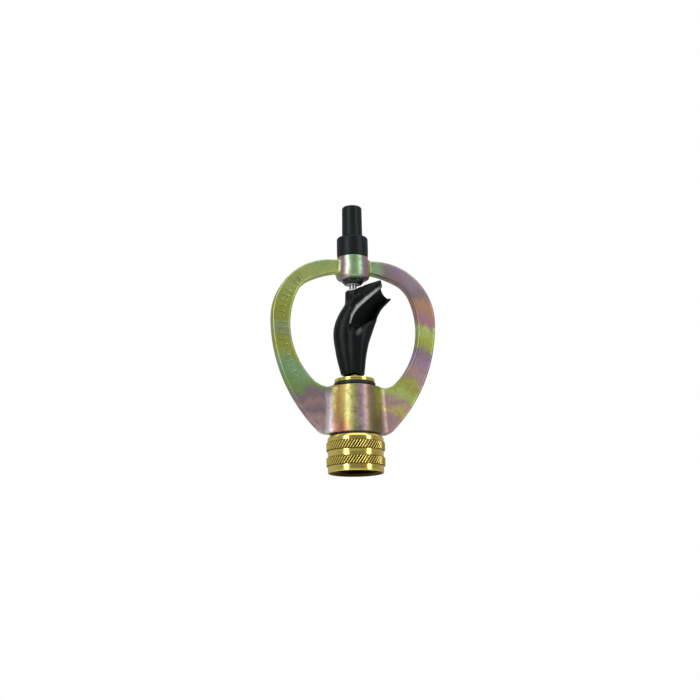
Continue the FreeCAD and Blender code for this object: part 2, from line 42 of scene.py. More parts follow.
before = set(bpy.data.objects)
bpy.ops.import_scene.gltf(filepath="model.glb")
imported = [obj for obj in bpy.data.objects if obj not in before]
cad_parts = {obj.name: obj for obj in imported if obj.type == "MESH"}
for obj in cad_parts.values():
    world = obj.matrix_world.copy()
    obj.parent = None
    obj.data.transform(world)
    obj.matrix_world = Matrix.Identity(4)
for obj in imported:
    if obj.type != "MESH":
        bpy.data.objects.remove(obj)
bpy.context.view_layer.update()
MM = 0.001


def levels(node):
    """Lowest level, highest level and outer radius of a CAD node, in millimetres."""
    low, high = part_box(node)
    return low.z / MM, high.z / MM, high.x / MM


# ------------------------------------------------------------------ settings


def size(label, default, text):
    """A length in the sidebar; the default is given in millimetres."""
    return bpy.props.FloatProperty(
        name=label, description=text, default=default * MM, min=0.0, precision=5, unit="LENGTH",
        subtype="DISTANCE")


def angle(label, default, text):
    """An angle in the sidebar; the default is given in degrees."""
    return bpy.props.FloatProperty(name=label, description=text, default=math.radians(default), unit="ROTATION")


def count(label, default, text):
    return bpy.props.IntProperty(name=label, description=text, default=default, min=1)


def share(label, default, text):
    return bpy.props.FloatProperty(
        name=label, description=text, default=default, min=0.0, max=1.0, subtype="FACTOR")


def strength(label, default, text):
    return bpy.props.FloatProperty(name=label, description=text, default=default, min=0.0)


def colour(label, default, text):
    return bpy.props.FloatVectorProperty(
        name=label, description=text, default=default, size=3, min=0.0, max=1.0, subtype="COLOR")


class SprinklerSizes(bpy.types.PropertyGroup):
    """Lengths, angles and counts of the visible pieces."""

    ring_shoulder: size("Ring shoulder radius", 32.4, "Outer radius of the ring's upper corners")
    ring_side: size("Ring side radius", 84.0, "Outer radius of the ring's long sides")
    ring_foot: size("Ring foot radius", 6.0, "Rounding where the sides run into the base")
    ring_below_head: size("Crown below head", 2.2, "Step from the top of the head boss down to the crown")
    ring_widest: size("Widest level", 81.8, "Height at which the ring is widest")
    window_half_width: size("Window half width", 34.9, "Half of the window's width at its widest level")
    window_widest: size("Window widest level", 78.1, "Height at which the window is widest")
    window_side: size("Window side radius", 42.0, "Radius of the window's sides")
    window_shoulder: size("Window shoulder radius", 15.8, "Radius of the window's upper corners")
    window_foot: size("Window foot radius", 12.6, "Radius of the window's lower corners")
    window_top: size("Window top radius", 56.3, "Radius of the window's flat top")
    window_shoulder_angle: angle("Window shoulder angle", 23.7, "Where the side runs into the shoulder")
    window_foot_angle: angle("Window foot angle", 44.2, "Where the side runs into the foot")
    plate: size("Plate thickness", 7.0, "Front to back thickness of the ring")
    rim_round: size("Rim rounding", 1.1, "Rounding along the ring's rims")
    boss_low: size("Base boss foot radius", 12.7, "Radius of the base boss at its lower end")
    boss_high: size("Base boss top radius", 11.0, "Radius of the base boss at its upper end")
    boss_top: size("Base boss top", 45.9, "Level of the base boss's top face")
    head_low: size("Head boss foot radius", 9.2, "Radius of the head boss at its lower end")
    head_high: size("Head boss top radius", 8.2, "Radius of the head boss at its upper end")
    head_bottom: size("Head boss bottom", 103.8, "Level of the head boss's lower face")
    head_round: size("Head boss rounding", 2.5, "Rounding at the lower end of the head boss")
    base_blend: size("Base blend", 5.0, "Fillet between the base boss and the webs")
    head_blend: size("Head blend", 1.5, "Fillet between the head boss and the crown")
    tail_bore: size("Tail bore radius", 7.35, "Bore through the base boss")
    sleeve_bore: size("Sleeve bore radius", 5.05, "Bore through the head boss")
    casting_step: size("Casting mesh step", 0.55, "Spacing of the casting's mesh")
    mark_count: count("Marks", 20, "Number of raised marks along the arm")
    mark_high: size("First mark", 24.0, "How far above the widest level the row of marks starts, along the arm")
    mark_pitch: size("Mark spacing", 3.0, "Spacing of the marks along the arm")
    mark_length: size("Mark length", 4.2, "Length of a bar")
    mark_width: size("Mark width", 0.8, "Width of a bar")
    mark_pip: size("Pip radius", 0.55, "Radius of a round mark")
    mark_height: size("Mark height", 0.45, "Height of the marks above the plate")
    knurl_teeth: count("Knurl teeth", 60, "Ridges round the coupling")
    knurl_depth: size("Knurl depth", 0.6, "Depth of the knurl's grooves")
    knurl_angle: angle("Knurl angle", 35.0, "Lean of the knurl's ridges from upright")
    knurl_cross: share("Cross cut", 0.3, "Depth of the crossing grooves as a share of the main ones")
    thread_pitch: size("Thread pitch", 2.209, "Rise of the hose thread in one turn")
    rotor_step: size("Rotor mesh step", 0.36, "Spacing of the rotor's mesh")
    rotor_lip: size("Lip rounding", 2.0, "Rolled edge of the scoop's opening")
    groove_radius: size("Groove radius", 3.4, "Radius of the groove down the rotor's front")
    groove_depth: size("Groove depth", 0.8, "Depth of the groove down the rotor's front")


class SprinklerColours(bpy.types.PropertyGroup):
    """Base colours of the finishes."""

    brass: colour("Brass", (0.96, 0.82, 0.24), "Turned brass")
    rotor: colour("Rotor plastic", (0.0015, 0.0042, 0.0044), "Moulded plastic of the rotor")
    cap: colour("Cap plastic", (0.0025, 0.0065, 0.008), "Satin plastic of the cap")
    acetal: colour("Sleeve plastic", (0.007, 0.009, 0.011), "Plastic of the bearing sleeve")
    hose_rubber: colour("Hose washer rubber", (0.02, 0.021, 0.02), "Rubber of the hose washer")
    seal_rubber: colour("Seal rubber", (0.007, 0.009, 0.009), "Rubber of the two seals")
    bearing: colour("Bearing plastic", (0.72, 0.71, 0.67), "White bushes and washers")
    steel: colour("Spindle steel", (0.42, 0.43, 0.40), "Brushed steel of the spindle")
    floor: colour("Floor", (0.86, 0.86, 0.85), "Pale floor")


class SprinklerStage(bpy.types.PropertyGroup):
    """Camera, lights and surroundings."""

    azimuth: angle("Camera azimuth", -14.36, "Direction of the camera round the object")
    elevation: angle("Camera elevation", -12.5, "Height of the camera above the horizon")
    roll: angle("Camera roll", -0.95, "Turn of the camera about its own axis")
    distance: size("Camera distance", 767.6, "From the middle of the object to the camera")
    aim: size("Aim level", 72.0, "Level that the camera looks at")
    lens: bpy.props.FloatProperty(
        name="Lens", description="Focal length in millimetres", default=74.3, min=1.0, unit="CAMERA")
    left_power: strength("Left light", 1.4, "Power of the tall light on the left, in watts")
    right_power: strength("Right light", 1.0, "Power of the tall light on the right, in watts")
    top_power: strength("Top light", 0.8, "Power of the wide light overhead, in watts")
    surround: strength("Surroundings", 0.32, "Brightness of the room that the object reflects")


def mm(value):
    return value / MM


# ------------------------------------------------------------------ meshes


def put_mesh(name, points, faces, smooth_angle=None, normals=None):
    """A mesh object from points in millimetres and a list or array of faces."""
    mesh = bpy.data.meshes.new(name)
    if isinstance(faces, np.ndarray):
        mesh.vertices.add(len(points))
        mesh.vertices.foreach_set("co", (np.asarray(points, float) * MM).astype(np.float32).ravel())
        mesh.loops.add(faces.size)
        mesh.loops.foreach_set("vertex_index", faces.astype(np.int32).ravel())
        mesh.polygons.add(len(faces))
        mesh.polygons.foreach_set("loop_start", (np.arange(len(faces)) * faces.shape[1]).astype(np.int32))
        mesh.update(calc_edges=True)
    else:
        mesh.from_pydata([tuple(c * MM for c in p) for p in points], [], faces)
    if mesh.validate():
        raise RuntimeError(f"{name}: the mesh has faults")
    mesh.shade_smooth()
    if smooth_angle is not None:
        mesh.set_sharp_from_angle(angle=math.radians(smooth_angle))
    if normals is not None:
        mesh.normals_split_custom_set_from_vertices(normals.tolist())
    made = bpy.data.objects.new(name, mesh)
    bpy.context.scene.collection.objects.link(made)
    return made


def put_shares(obj, name, values):
    """A number from 0 to 1 at each point of a mesh, for its material."""
    made = obj.data.attributes.new(name, "FLOAT", "POINT")
    made.data.foreach_set("value", values.astype(np.float32))


def fit(obj, body, slot, material, *nodes):
    """Gives a piece its body, its finish and the CAD nodes that it stands for."""
    obj.data.materials.append(material)
    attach(obj, body)
    if nodes:
        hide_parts(*nodes)
    return obj


def rounded(points, closed=True, steps=5):
    """Replaces each corner (r, z, radius) of a profile by an arc; a corner without a radius stays sharp."""
    made = []
    total = len(points)
    for i, point in enumerate(points):
        here = np.array(point[:2], float)
        radius = point[2] if len(point) > 2 else 0.0
        if radius <= 0 or (not closed and i in (0, total - 1)):
            made.append(tuple(here))
            continue
        before = np.array(points[i - 1][:2], float) - here
        after = np.array(points[(i + 1) % total][:2], float) - here
        room = min(np.linalg.norm(before), np.linalg.norm(after))
        before, after = before / np.linalg.norm(before), after / np.linalg.norm(after)
        half = math.acos(np.clip(before @ after, -1, 1)) / 2
        reach = min(radius / math.tan(half), 0.49 * room)
        radius = reach * math.tan(half)
        middle = here + (before + after) / np.linalg.norm(before + after) * radius / math.sin(half)
        start, end = here + before * reach - middle, here + after * reach - middle
        a0 = math.atan2(start[1], start[0])
        turn = (math.atan2(end[1], end[0]) - a0 + math.pi) % (2 * math.pi) - math.pi
        for k in range(steps + 1):
            a = a0 + turn * k / steps
            made.append((middle[0] + radius * math.cos(a), middle[1] + radius * math.sin(a)))
    return made


def turned(name, profile, closed=True, segments=144):
    """A turned piece: its profile (r, z[, radius]) swept round the axis.

    An open profile starts and ends on the axis.
    """
    outline = rounded(profile, closed)
    points, rings = [], []
    for r, z in outline:
        if r < 1e-6:
            rings.append([len(points)])
            points.append((0.0, 0.0, z))
            continue
        rings.append(list(range(len(points), len(points) + segments)))
        for j in range(segments):
            a = 2 * math.pi * j / segments
            points.append((r * math.cos(a), r * math.sin(a), z))
    faces = []
    pairs = list(zip(rings, rings[1:])) + ([(rings[-1], rings[0])] if closed else [])
    for a, b in pairs:
        for j in range(segments):
            k = (j + 1) % segments
            corners = [a[j % len(a)], a[k % len(a)], b[k % len(b)], b[j % len(b)]]
            face = [v for n, v in enumerate(corners) if v not in corners[:n]]
            if len(face) > 2:
                faces.append(face)
    made = put_mesh(name, points, faces, smooth_angle=32.0)
    weighted = made.modifiers.new("even shading", "WEIGHTED_NORMAL")
    weighted.keep_sharp = True
    return made


# ------------------------------------------------------------------ fields
# A field gives the signed distance to a surface, in millimetres: below zero inside.


def smooth_max(a, b, k):
    h = np.maximum(k - np.abs(a - b), 0.0) / k
    return np.maximum(a, b) + h * h * k / 4


def smooth_min(a, b, k):
    return -smooth_max(-a, -b, k)


def fillet_union(a, b, radius):
    """Union with a round fillet of that radius where the surfaces meet squarely."""
    both = np.hypot(np.maximum(radius - a, 0), np.maximum(radius - b, 0))
    return np.maximum(radius, np.minimum(a, b)) - both


def rounded_join(a, b, radius):
    """Intersection of two fields with its outer edge rounded."""
    a, b = a + radius, b + radius
    return np.minimum(np.maximum(a, b), 0) + np.hypot(np.maximum(a, 0), np.maximum(b, 0)) - radius


def arc_line(centre, radius, start, end, step=2.5):
    number = max(2, int(abs(end - start) / step))
    a = np.radians(np.linspace(start, end, number + 1))
    return np.stack([centre[0] + radius * np.cos(a), centre[1] + radius * np.sin(a)], 1)


def polygon(line, x, z):
    """Signed distance to a closed outline in the XZ plane."""
    return half_outline(np.concatenate([line, line[:1]]), x, z, fold=False)


def half_outline(line, x, z, fold=True):
    """Signed distance to an outline given by its +X half, from top to bottom, and mirrored."""
    x = np.abs(x) if fold else x
    best = np.full(x.shape, np.inf)
    inside = np.zeros(x.shape, bool)
    for (ax, az), (bx, bz) in zip(line[:-1], line[1:]):
        ex, ez = bx - ax, bz - az
        length = ex * ex + ez * ez
        if length < 1e-12:
            continue
        t = np.clip(((x - ax) * ex + (z - az) * ez) / length, 0, 1)
        best = np.minimum(best, (x - ax - t * ex) ** 2 + (z - az - t * ez) ** 2)
        if abs(ez) > 1e-12:
            crosses = (az > z) != (bz > z)
            inside ^= crosses & (x < ax + (z - az) * ex / ez)
    return np.where(inside, -1.0, 1.0) * np.sqrt(best)


def capsule(x, y, z, a, b, ra, rb=None):
    """A round bar from a to b, which may taper."""
    a, b = np.array(a, float), np.array(b, float)
    d = b - a
    t = np.clip(((x - a[0]) * d[0] + (y - a[1]) * d[1] + (z - a[2]) * d[2]) / (d @ d), 0, 1)
    away = np.sqrt((x - a[0] - t * d[0]) ** 2 + (y - a[1] - t * d[1]) ** 2 + (z - a[2] - t * d[2]) ** 2)
    return away - (ra if rb is None else ra + (rb - ra) * t)


def tapered_boss(axis_r, z, low, high, r_low, r_high, round_low, round_high):
    """A cone frustum about the Z axis with rounded ends."""
    slope = (r_high - r_low) / (high - low)
    side = (axis_r - r_low - slope * (z - low)) / math.hypot(1, slope)
    middle = (low + high) / 2
    lower = rounded_join(side, low - z, round_low)
    upper = rounded_join(side, z - high, round_high)
    return np.where(z < middle, lower, upper)


PROBE = 0.01  # how far apart a field is sampled for its slope
RELAX_TURNS = 2  # how often the points of a mesh are evened out


def skin(name, field, low, high, step):
    """Quad mesh of a field's zero level: one vertex in each crossed cell, then moved onto the level."""
    counts = [int(math.ceil((b - a) / step)) + 1 for a, b in zip(low, high)]
    axes = [a + step * np.arange(n) for a, n in zip(low, counts)]
    grid = np.empty(counts)
    y, z = np.meshgrid(axes[1], axes[2], indexing="ij")
    for i, x in enumerate(axes[0]):
        grid[i] = field(np.full_like(y, x), y, z)
    inside = grid < 0
    cells = tuple(n - 1 for n in counts)
    total = np.zeros((int(np.prod(cells)), 3))
    number = np.zeros(int(np.prod(cells)))
    quads = []
    for axis in range(3):
        o1, o2 = (axis + 1) % 3, (axis + 2) % 3
        lower = [slice(None)] * 3
        upper = [slice(None)] * 3
        lower[axis], upper[axis] = slice(0, -1), slice(1, None)
        a, b = grid[tuple(lower)], grid[tuple(upper)]
        where = np.argwhere(inside[tuple(lower)] != inside[tuple(upper)])
        va, vb = a[tuple(where.T)], b[tuple(where.T)]
        crossing = where.astype(float)
        crossing[:, axis] += va / (va - vb)
        around = []
        for s1, s2 in ((0, 0), (-1, 0), (-1, -1), (0, -1)):
            cell = where.copy()
            cell[:, o1] += s1
            cell[:, o2] += s2
            flat = np.ravel_multi_index(tuple(cell.T), cells)
            for c in range(3):
                total[:, c] += np.bincount(flat, crossing[:, c], minlength=len(number))
            number += np.bincount(flat, minlength=len(number))
            around.append(flat)
        quad = np.stack(around, 1)
        outward = va < 0
        quads.append(np.where(outward[:, None], quad, quad[:, ::-1]))
    used = np.flatnonzero(number)
    index = np.full(len(number), -1)
    index[used] = np.arange(len(used))
    faces = index[np.concatenate(quads)]
    points = np.array(low, float) + step * total[used] / number[used][:, None]
    ends = np.concatenate([faces[:, [0, 1]], faces[:, [1, 2]], faces[:, [2, 3]], faces[:, [3, 0]]])
    valence = np.bincount(ends.ravel(), minlength=len(points))[:, None]

    def slope(p):
        f = field(*p.T)
        g = np.stack([field(*(p + PROBE * np.eye(3)[c]).T) - f for c in range(3)], 1) / PROBE
        return f, g

    for turn in range(RELAX_TURNS + 1):
        for _ in range(2):
            f, g = slope(points)
            move = (f / np.maximum((g * g).sum(1), 0.25))[:, None] * g
            length = np.linalg.norm(move, axis=1)[:, None]
            points = points - move * np.minimum(1, 0.4 * step / np.maximum(length, 1e-9))
        if turn < RELAX_TURNS:
            sums = np.stack([
                np.bincount(ends[:, 0], points[ends[:, 1], c], minlength=len(points))
                + np.bincount(ends[:, 1], points[ends[:, 0], c], minlength=len(points)) for c in range(3)], 1)
            points = points + 0.5 * (sums / valence - points)
    _, g = slope(points)
    normals = g / np.maximum(np.linalg.norm(g, axis=1), 1e-9)[:, None]
    return put_mesh(name, points, faces, normals=normals)


# ------------------------------------------------------------------ materials


MIX_LOW, MIX_HIGH, MIX_RESULT = 6, 7, 2  # the colour sockets of a Mix node


def both_ways(operation):
    """The methods for an operator and for its reflected form, each of which adds a Math node."""
    def plain(self, other):
        return self.math(operation, self, other)

    def reflected(self, other):
        return self.math(operation, other, self)

    return plain, reflected


def set_stops(ramp, stops):
    """Gives a colour ramp its stops, as (place, colour)."""
    ramp.interpolation = "EASE"
    while len(ramp.elements) < len(stops):
        ramp.elements.new(1.0)
    for element, (place, value) in zip(ramp.elements, stops):
        element.position = place
        element.color = (*value, 1.0)


class Socket:
    """A shader socket that takes part in Python arithmetic. node() adds any other node to the same tree."""

    def __init__(self, tree, socket=None):
        self.tree = tree
        self.socket = socket

    def node(self, kind, settings=None, inputs=None, output=0):
        """Adds a node: its settings are made first, then its inputs are linked or set, by name or number.

        Without an output's name or number it returns all outputs, as a list.
        """
        made = self.tree.nodes.new(kind)
        for key, value in (settings or {}).items():
            if key == "stops":
                set_stops(made.color_ramp, value)
            else:
                setattr(made, key, value)
        for key, value in (inputs or {}).items():
            if isinstance(value, Socket):
                self.tree.links.new(value.socket, made.inputs[key])
            else:
                made.inputs[key].default_value = value
        if output is None:
            return [Socket(self.tree, socket) for socket in made.outputs]
        return Socket(self.tree, made.outputs[output])

    def math(self, operation, *values):
        return self.node("ShaderNodeMath", {"operation": operation}, dict(enumerate(values)))

    __add__, __radd__ = both_ways("ADD")
    __sub__, __rsub__ = both_ways("SUBTRACT")
    __mul__, __rmul__ = both_ways("MULTIPLY")
    __truediv__, __rtruediv__ = both_ways("DIVIDE")
    __pow__, __rpow__ = both_ways("POWER")

    def __abs__(self):
        return self.math("ABSOLUTE", self)

    def at_most(self, other):
        return self.math("MINIMUM", self, other)

    def between(self, low, high):
        """0 below low, 1 above high, and a smooth step in between."""
        settings = {"interpolation_type": "SMOOTHSTEP"}
        return self.node("ShaderNodeMapRange", settings, {0: self, 1: low, 2: high})

    def noise(self, where, scale, detail=3.0, rough=0.55):
        """Noise of about 0 to 1 over a position in metres; scale is in cycles over a metre."""
        inputs = {"Vector": where, "Scale": scale, "Detail": detail, "Roughness": rough, "Distortion": 0.0}
        return self.node("ShaderNodeTexNoise", {"noise_dimensions": "3D"}, inputs)

    def blend(self, low, high):
        """A colour that goes from low to high as this socket goes from 0 to 1."""
        low, high = (value if isinstance(value, Socket) else (*value, 1.0) for value in (low, high))
        inputs = {0: self, MIX_LOW: low, MIX_HIGH: high}
        return self.node("ShaderNodeMix", {"data_type": "RGBA"}, inputs, MIX_RESULT)

    def ramp(self, stops):
        """A colour from this socket's value: stops are (place, colour)."""
        return self.node("ShaderNodeValToRGB", {"stops": stops}, {0: self})

    def parts(self):
        """The three parts of a vector."""
        return self.node("ShaderNodeSeparateXYZ", inputs={0: self}, output=None)

    def stretched(self, scale):
        """A vector with each part multiplied by a number."""
        return self.node("ShaderNodeVectorMath", {"operation": "MULTIPLY"}, {0: self, 1: scale})


def material(name):
    """A new material, as (material, its root socket, the position in the row frame)."""
    made = bpy.data.materials.new(name)
    made.use_nodes = True
    made.node_tree.nodes.clear()
    root = Socket(made.node_tree)
    where = root.node("ShaderNodeTexCoord", output="Object")
    return made, root, where


def finish_surface(root, inputs, height, depth):
    """The material's one Principled shader; height is bumped by depth, in metres."""
    bump = root.node("ShaderNodeBump", inputs={"Height": height, "Distance": depth, "Strength": 1.0})
    shader = root.node("ShaderNodeBsdfPrincipled", inputs={**inputs, "Normal": bump})
    root.node("ShaderNodeOutputMaterial", inputs={"Surface": shader}, output=None)


GREEN, MOSS, SAGE = (0.31, 0.52, 0.27), (0.25, 0.42, 0.12), (0.38, 0.45, 0.21)
LIME, MUSTARD, OLIVE = (0.47, 0.57, 0.18), (0.42, 0.46, 0.08), (0.35, 0.32, 0.10)
GOLD, AMBER, UMBER = (0.60, 0.50, 0.18), (0.49, 0.30, 0.08), (0.20, 0.17, 0.07)
RUST, STRAW, PEACH = (0.47, 0.27, 0.17), (0.58, 0.54, 0.20), (0.50, 0.40, 0.32)
# The pale pearl colour is a painted highlight, for the strip down the left web.
BRONZE, HIGHLIGHT_PEARL = (0.27, 0.17, 0.04), (0.88, 0.80, 0.86)
PINK, ROSE, CRIMSON = (0.48, 0.30, 0.31), (0.44, 0.22, 0.28), (0.52, 0.16, 0.15)
VIOLET, LILAC, SILVER = (0.29, 0.22, 0.26), (0.38, 0.26, 0.36), (0.66, 0.60, 0.54)

# The film's colours up the left and the right arm, and from left to right over the two bosses. Left of the
# middle, the head boss's silver band and the base boss's straw band are film colour with a painted highlight
# where the left light falls.
LEFT_ARM = (
    (0.00, SILVER), (0.06, PINK), (0.11, VIOLET), (0.16, PINK), (0.21, VIOLET), (0.28, MOSS), (0.37, GREEN),
    (0.47, MUSTARD), (0.56, SAGE), (0.66, MUSTARD), (0.78, LIME), (0.87, LIME), (0.93, LIME), (1.00, GREEN))
RIGHT_ARM = (
    (0.00, PINK), (0.05, GOLD), (0.11, PINK), (0.17, LIME), (0.24, MUSTARD), (0.31, PINK), (0.40, LILAC),
    (0.47, VIOLET), (0.54, MUSTARD), (0.59, LIME), (0.66, ROSE), (0.75, RUST), (0.82, VIOLET), (0.88, LILAC),
    (0.96, GREEN))
BASE_BOSS = (
    (0.00, OLIVE), (0.08, BRONZE), (0.16, AMBER), (0.25, STRAW), (0.35, STRAW), (0.43, PEACH), (0.52, LILAC),
    (0.60, PINK), (0.68, OLIVE), (0.75, ROSE), (0.83, OLIVE), (0.92, MUSTARD), (1.00, MUSTARD))
HEAD_BOSS = (
    (0.00, LIME), (0.14, VIOLET), (0.26, SILVER), (0.36, GREEN), (0.60, GREEN), (0.72, LILAC), (0.84, PINK),
    (0.92, GOLD), (1.00, OLIVE))


def chromated():
    """Passivated zinc casting: the film's colour drifts along each arm, round each boss, and in clouds. A pale
    strip on the left web and a band left of the middle of each boss are painted highlights; the base boss's
    lower right is darkened with painted shade.
    """
    made, root, where = material("chromated casting")
    x, y, z = where.parts()
    cloud = root.noise(where, 60.0, 3.0)
    patch = root.noise(where, 190.0, 3.0, 0.6)
    fine = root.noise(where, 480.0, 4.0, 0.65)
    grain = root.noise(where, 2600.0, 2.0, 0.6)
    drift = (cloud - 0.5) * 0.26 + (patch - 0.5) * 0.16
    level = (z - 0.0205) / 0.096 + drift
    left = level.ramp(LEFT_ARM)
    right = (level + (x - 0.036) * 5.0).ramp(RIGHT_ARM)
    arms = x.between(-0.004, 0.004).blend(left, right)
    near_head = (1.0 - x.between(0.0125, 0.0185)) * x.between(0.0, 0.006) * z.between(0.100, 0.106)
    arms = (near_head * 0.85).blend(arms, GREEN)
    # Painted highlight: a pale pearl strip down the left web beside the base boss, where the fillet catches the
    # left light.
    from_highlight_strip = abs(x + 0.0148 + (cloud - 0.5) * 0.004)
    painted_highlight_strip = (1.0 - from_highlight_strip.between(0.0006, 0.0026)) * (1.0 - z.between(0.038, 0.045))
    arms = (painted_highlight_strip * 0.8).blend(arms, HIGHLIGHT_PEARL)
    turn = x / 0.0128 * 0.5 + 0.5
    boss = (turn + drift * 0.9 + (patch - 0.5) * 0.14 + (fine - 0.5) * 0.10).ramp(BASE_BOSS)
    low_pink = (0.0250 - z + (cloud - 0.5) * 0.016).between(-0.004, 0.005) * (1.0 - x.between(-0.009, -0.001))
    boss = (low_pink * 0.8).blend(boss, CRIMSON)
    # Painted shade: the lower right of the base boss is darkened towards umber, where less light falls.
    shade_low_right = x.between(0.001, 0.009) * (1.0 - (z + (patch - 0.5) * 0.02).between(0.026, 0.036))
    boss = (shade_low_right * 0.85).blend(boss, UMBER)
    head = (turn * 1.35 - 0.17 + drift).ramp(HEAD_BOSS)
    axis = (x * x + y * y) ** 0.5
    on_boss = (1.0 - axis.between(0.0128, 0.0150)) * (1.0 - z.between(0.046, 0.050))
    on_head = (1.0 - axis.between(0.0088, 0.0102)) * z.between(0.098, 0.102)
    base = on_head.blend(on_boss.blend(arms, boss), head)
    stain = (patch * 0.35 + fine * 0.75).between(0.50, 0.72)
    base = (stain * (0.40 + on_boss * 0.30)).blend(base, UMBER)
    pale = (fine * 0.5 + grain * 0.6).between(0.56, 0.74)
    base = (pale * 0.20).blend(base, SILVER)
    rough = 0.42 + (fine - 0.5) * 0.20 + (cloud - 0.5) * 0.08
    height = fine * 0.5 + grain * 0.3
    finish_surface(root, {"Base Color": base, "Metallic": 0.85, "Roughness": rough}, height, 0.00008)
    return made


# The dark valley colour is painted shade, for the knurl's grooves and the coupling's inside.
BRASS_PATCH, BRASS_STAIN, BRASS_SHADE = (0.92, 0.74, 0.16), (0.82, 0.50, 0.14), (0.15, 0.10, 0.03)
# A painted highlight: the pale grey that the rotor's lip and hump are blended towards.
HIGHLIGHT_PLASTIC = (0.36, 0.38, 0.37)


def brass(colours, name="turned brass", rough=0.2, valley=None):
    """Turned brass: fine lines round the axis, and duller patches.

    The attribute named by the last argument holds the knurl's depth, and 1 over the coupling's inside; it
    paints shade there with the dark valley colour and roughens the surface a little.
    """
    made, root, where = material(name)
    lines = root.noise(where.stretched((1.0, 1.0, 40.0)), 130.0, 3.0)
    patches = root.noise(where, 160.0, 3.0)
    stain = root.noise(where, 60.0, 3.0, 0.6).between(0.48, 0.72)
    base = patches.blend(tuple(colours.brass), BRASS_PATCH)
    base = (stain * 0.5).blend(base, BRASS_STAIN)
    dull = rough + (lines - 0.5) * 0.10 + (patches - 0.5) * 0.10
    if valley:
        # Painted shade: the attribute's share blends the base colour towards the dark valley colour.
        deep = root.node("ShaderNodeAttribute", {"attribute_name": valley}, output="Fac")
        base = deep.between(0.12, 0.75).blend(base, BRASS_SHADE)
        dull = dull + deep * 0.12
    finish_surface(root, {"Base Color": base, "Metallic": 1.0, "Roughness": dull}, lines, 0.00002)
    return made


def plastic(name, base, rough, scuff, depth=0.00003, coarse=700.0, ior=1.45, polish=None):
    """Moulded plastic with soft mottling and fine scuffs.

    The attribute named by the last argument says where the plastic gets a painted highlight, a pale grey base
    colour, and a clear coat.
    """
    made, root, where = material(name)
    mottle = root.noise(where, 120.0, 3.0)
    pits = root.noise(where, coarse, 3.0, 0.6)
    scratches = root.noise(where.stretched((6.0, 6.0, 1.0)), 240.0, 4.0, 0.7).between(0.60, 0.72)
    lighter = tuple(min(1.0, c * 1.6 + 0.004) for c in base)
    tone = (mottle * 0.35 + scratches * scuff).at_most(1.0).blend(tuple(base), lighter)
    duller = rough + (mottle - 0.5) * 0.1 + scratches * scuff * 0.25
    inputs = {"Metallic": 0.0, "IOR": ior, "Coat IOR": 1.8, "Coat Roughness": 0.16}
    if polish:
        # Painted highlight: where the attribute is high the base colour turns pale grey, with a clear coat on
        # top.
        shiny = root.node("ShaderNodeAttribute", {"attribute_name": polish}, output="Fac")
        tone = shiny.blend(tone, HIGHLIGHT_PLASTIC)
        inputs["Coat Weight"] = shiny
    finish_surface(root, {"Base Color": tone, "Roughness": duller, **inputs}, pits, depth)
    return made


def steel(colours):
    """Brushed steel: fine lines round the pin."""
    made, root, where = material("spindle steel")
    lines = root.noise(where.stretched((1.0, 1.0, 30.0)), 300.0, 3.0)
    tone = lines.blend(tuple(colours.steel), tuple(c * 0.8 for c in colours.steel))
    inputs = {"Base Color": tone, "Metallic": 1.0, "Roughness": 0.22 + lines * 0.12}
    finish_surface(root, inputs, lines, 0.00001)
    return made


# ------------------------------------------------------------------ operators


def outlines(s):
    """The +X halves of the ring's outer edge and of its window, from top to bottom."""
    low, high, half = levels("yoke")
    crown, widest = high - mm(s.ring_below_head), mm(s.ring_widest)
    shoulder, side, foot = mm(s.ring_shoulder), mm(s.ring_side), mm(s.ring_foot)
    side_x = half - side
    foot_z = low + foot
    foot_x = side_x + math.sqrt((side - foot) ** 2 - (foot_z - widest) ** 2)
    meet = math.degrees(math.atan2(foot_z - widest, foot_x - side_x))
    outer = np.concatenate([
        [(0, crown)], arc_line((half - shoulder, widest), shoulder, 90, 0),
        arc_line((side_x, widest), side, 0, meet, 1),
        arc_line((foot_x, foot_z), foot, meet, -90, 8), [(0, low)]])
    side, centre = mm(s.window_side), (mm(s.window_half_width) - mm(s.window_side), mm(s.window_widest))
    up, down = s.window_shoulder_angle, -s.window_foot_angle
    shoulder, foot, top = mm(s.window_shoulder), mm(s.window_foot), mm(s.window_top)
    upper = (centre[0] + (side - shoulder) * math.cos(up), centre[1] + (side - shoulder) * math.sin(up))
    lower = (centre[0] + (side - foot) * math.cos(down), centre[1] + (side - foot) * math.sin(down))
    rise = math.sqrt((top - shoulder) ** 2 - upper[0] ** 2)
    meet = math.degrees(math.atan2(rise, upper[0]))
    up, down = math.degrees(up), math.degrees(down)
    inner = np.concatenate([
        arc_line((0, upper[1] - rise), top, 90, meet), arc_line(upper, shoulder, meet, up, 4),
        arc_line(centre, side, up, down), arc_line(lower, foot, down, -90, 5), [(0, lower[1] - foot)]])
    return outer, inner


def mark_solid(points, faces, outline, place, rise, inset, front):
    """One raised mark: an outline on the plate, drawn in at its top edge. place maps (u, v) to (x, z)."""
    n = len(outline)
    middle = outline.mean(0)
    start = len(points)
    for shrink, height in ((0.0, -0.3), (0.0, rise - inset), (inset * 0.4, rise - inset * 0.3), (inset, rise)):
        for u, v in outline:
            away = np.array([u, v]) - middle
            u2, v2 = np.array([u, v]) - away / np.linalg.norm(away) * shrink
            x, z = place(u2, v2)
            points.append((x, front - height, z))
    for ring in range(3):
        for i in range(n):
            j = (i + 1) % n
            a, b = start + ring * n + i, start + ring * n + j
            faces.append([a, b, b + n, a + n])
    faces.append([start + 3 * n + i for i in range(n)])
    faces.append([start + i for i in reversed(range(n))])


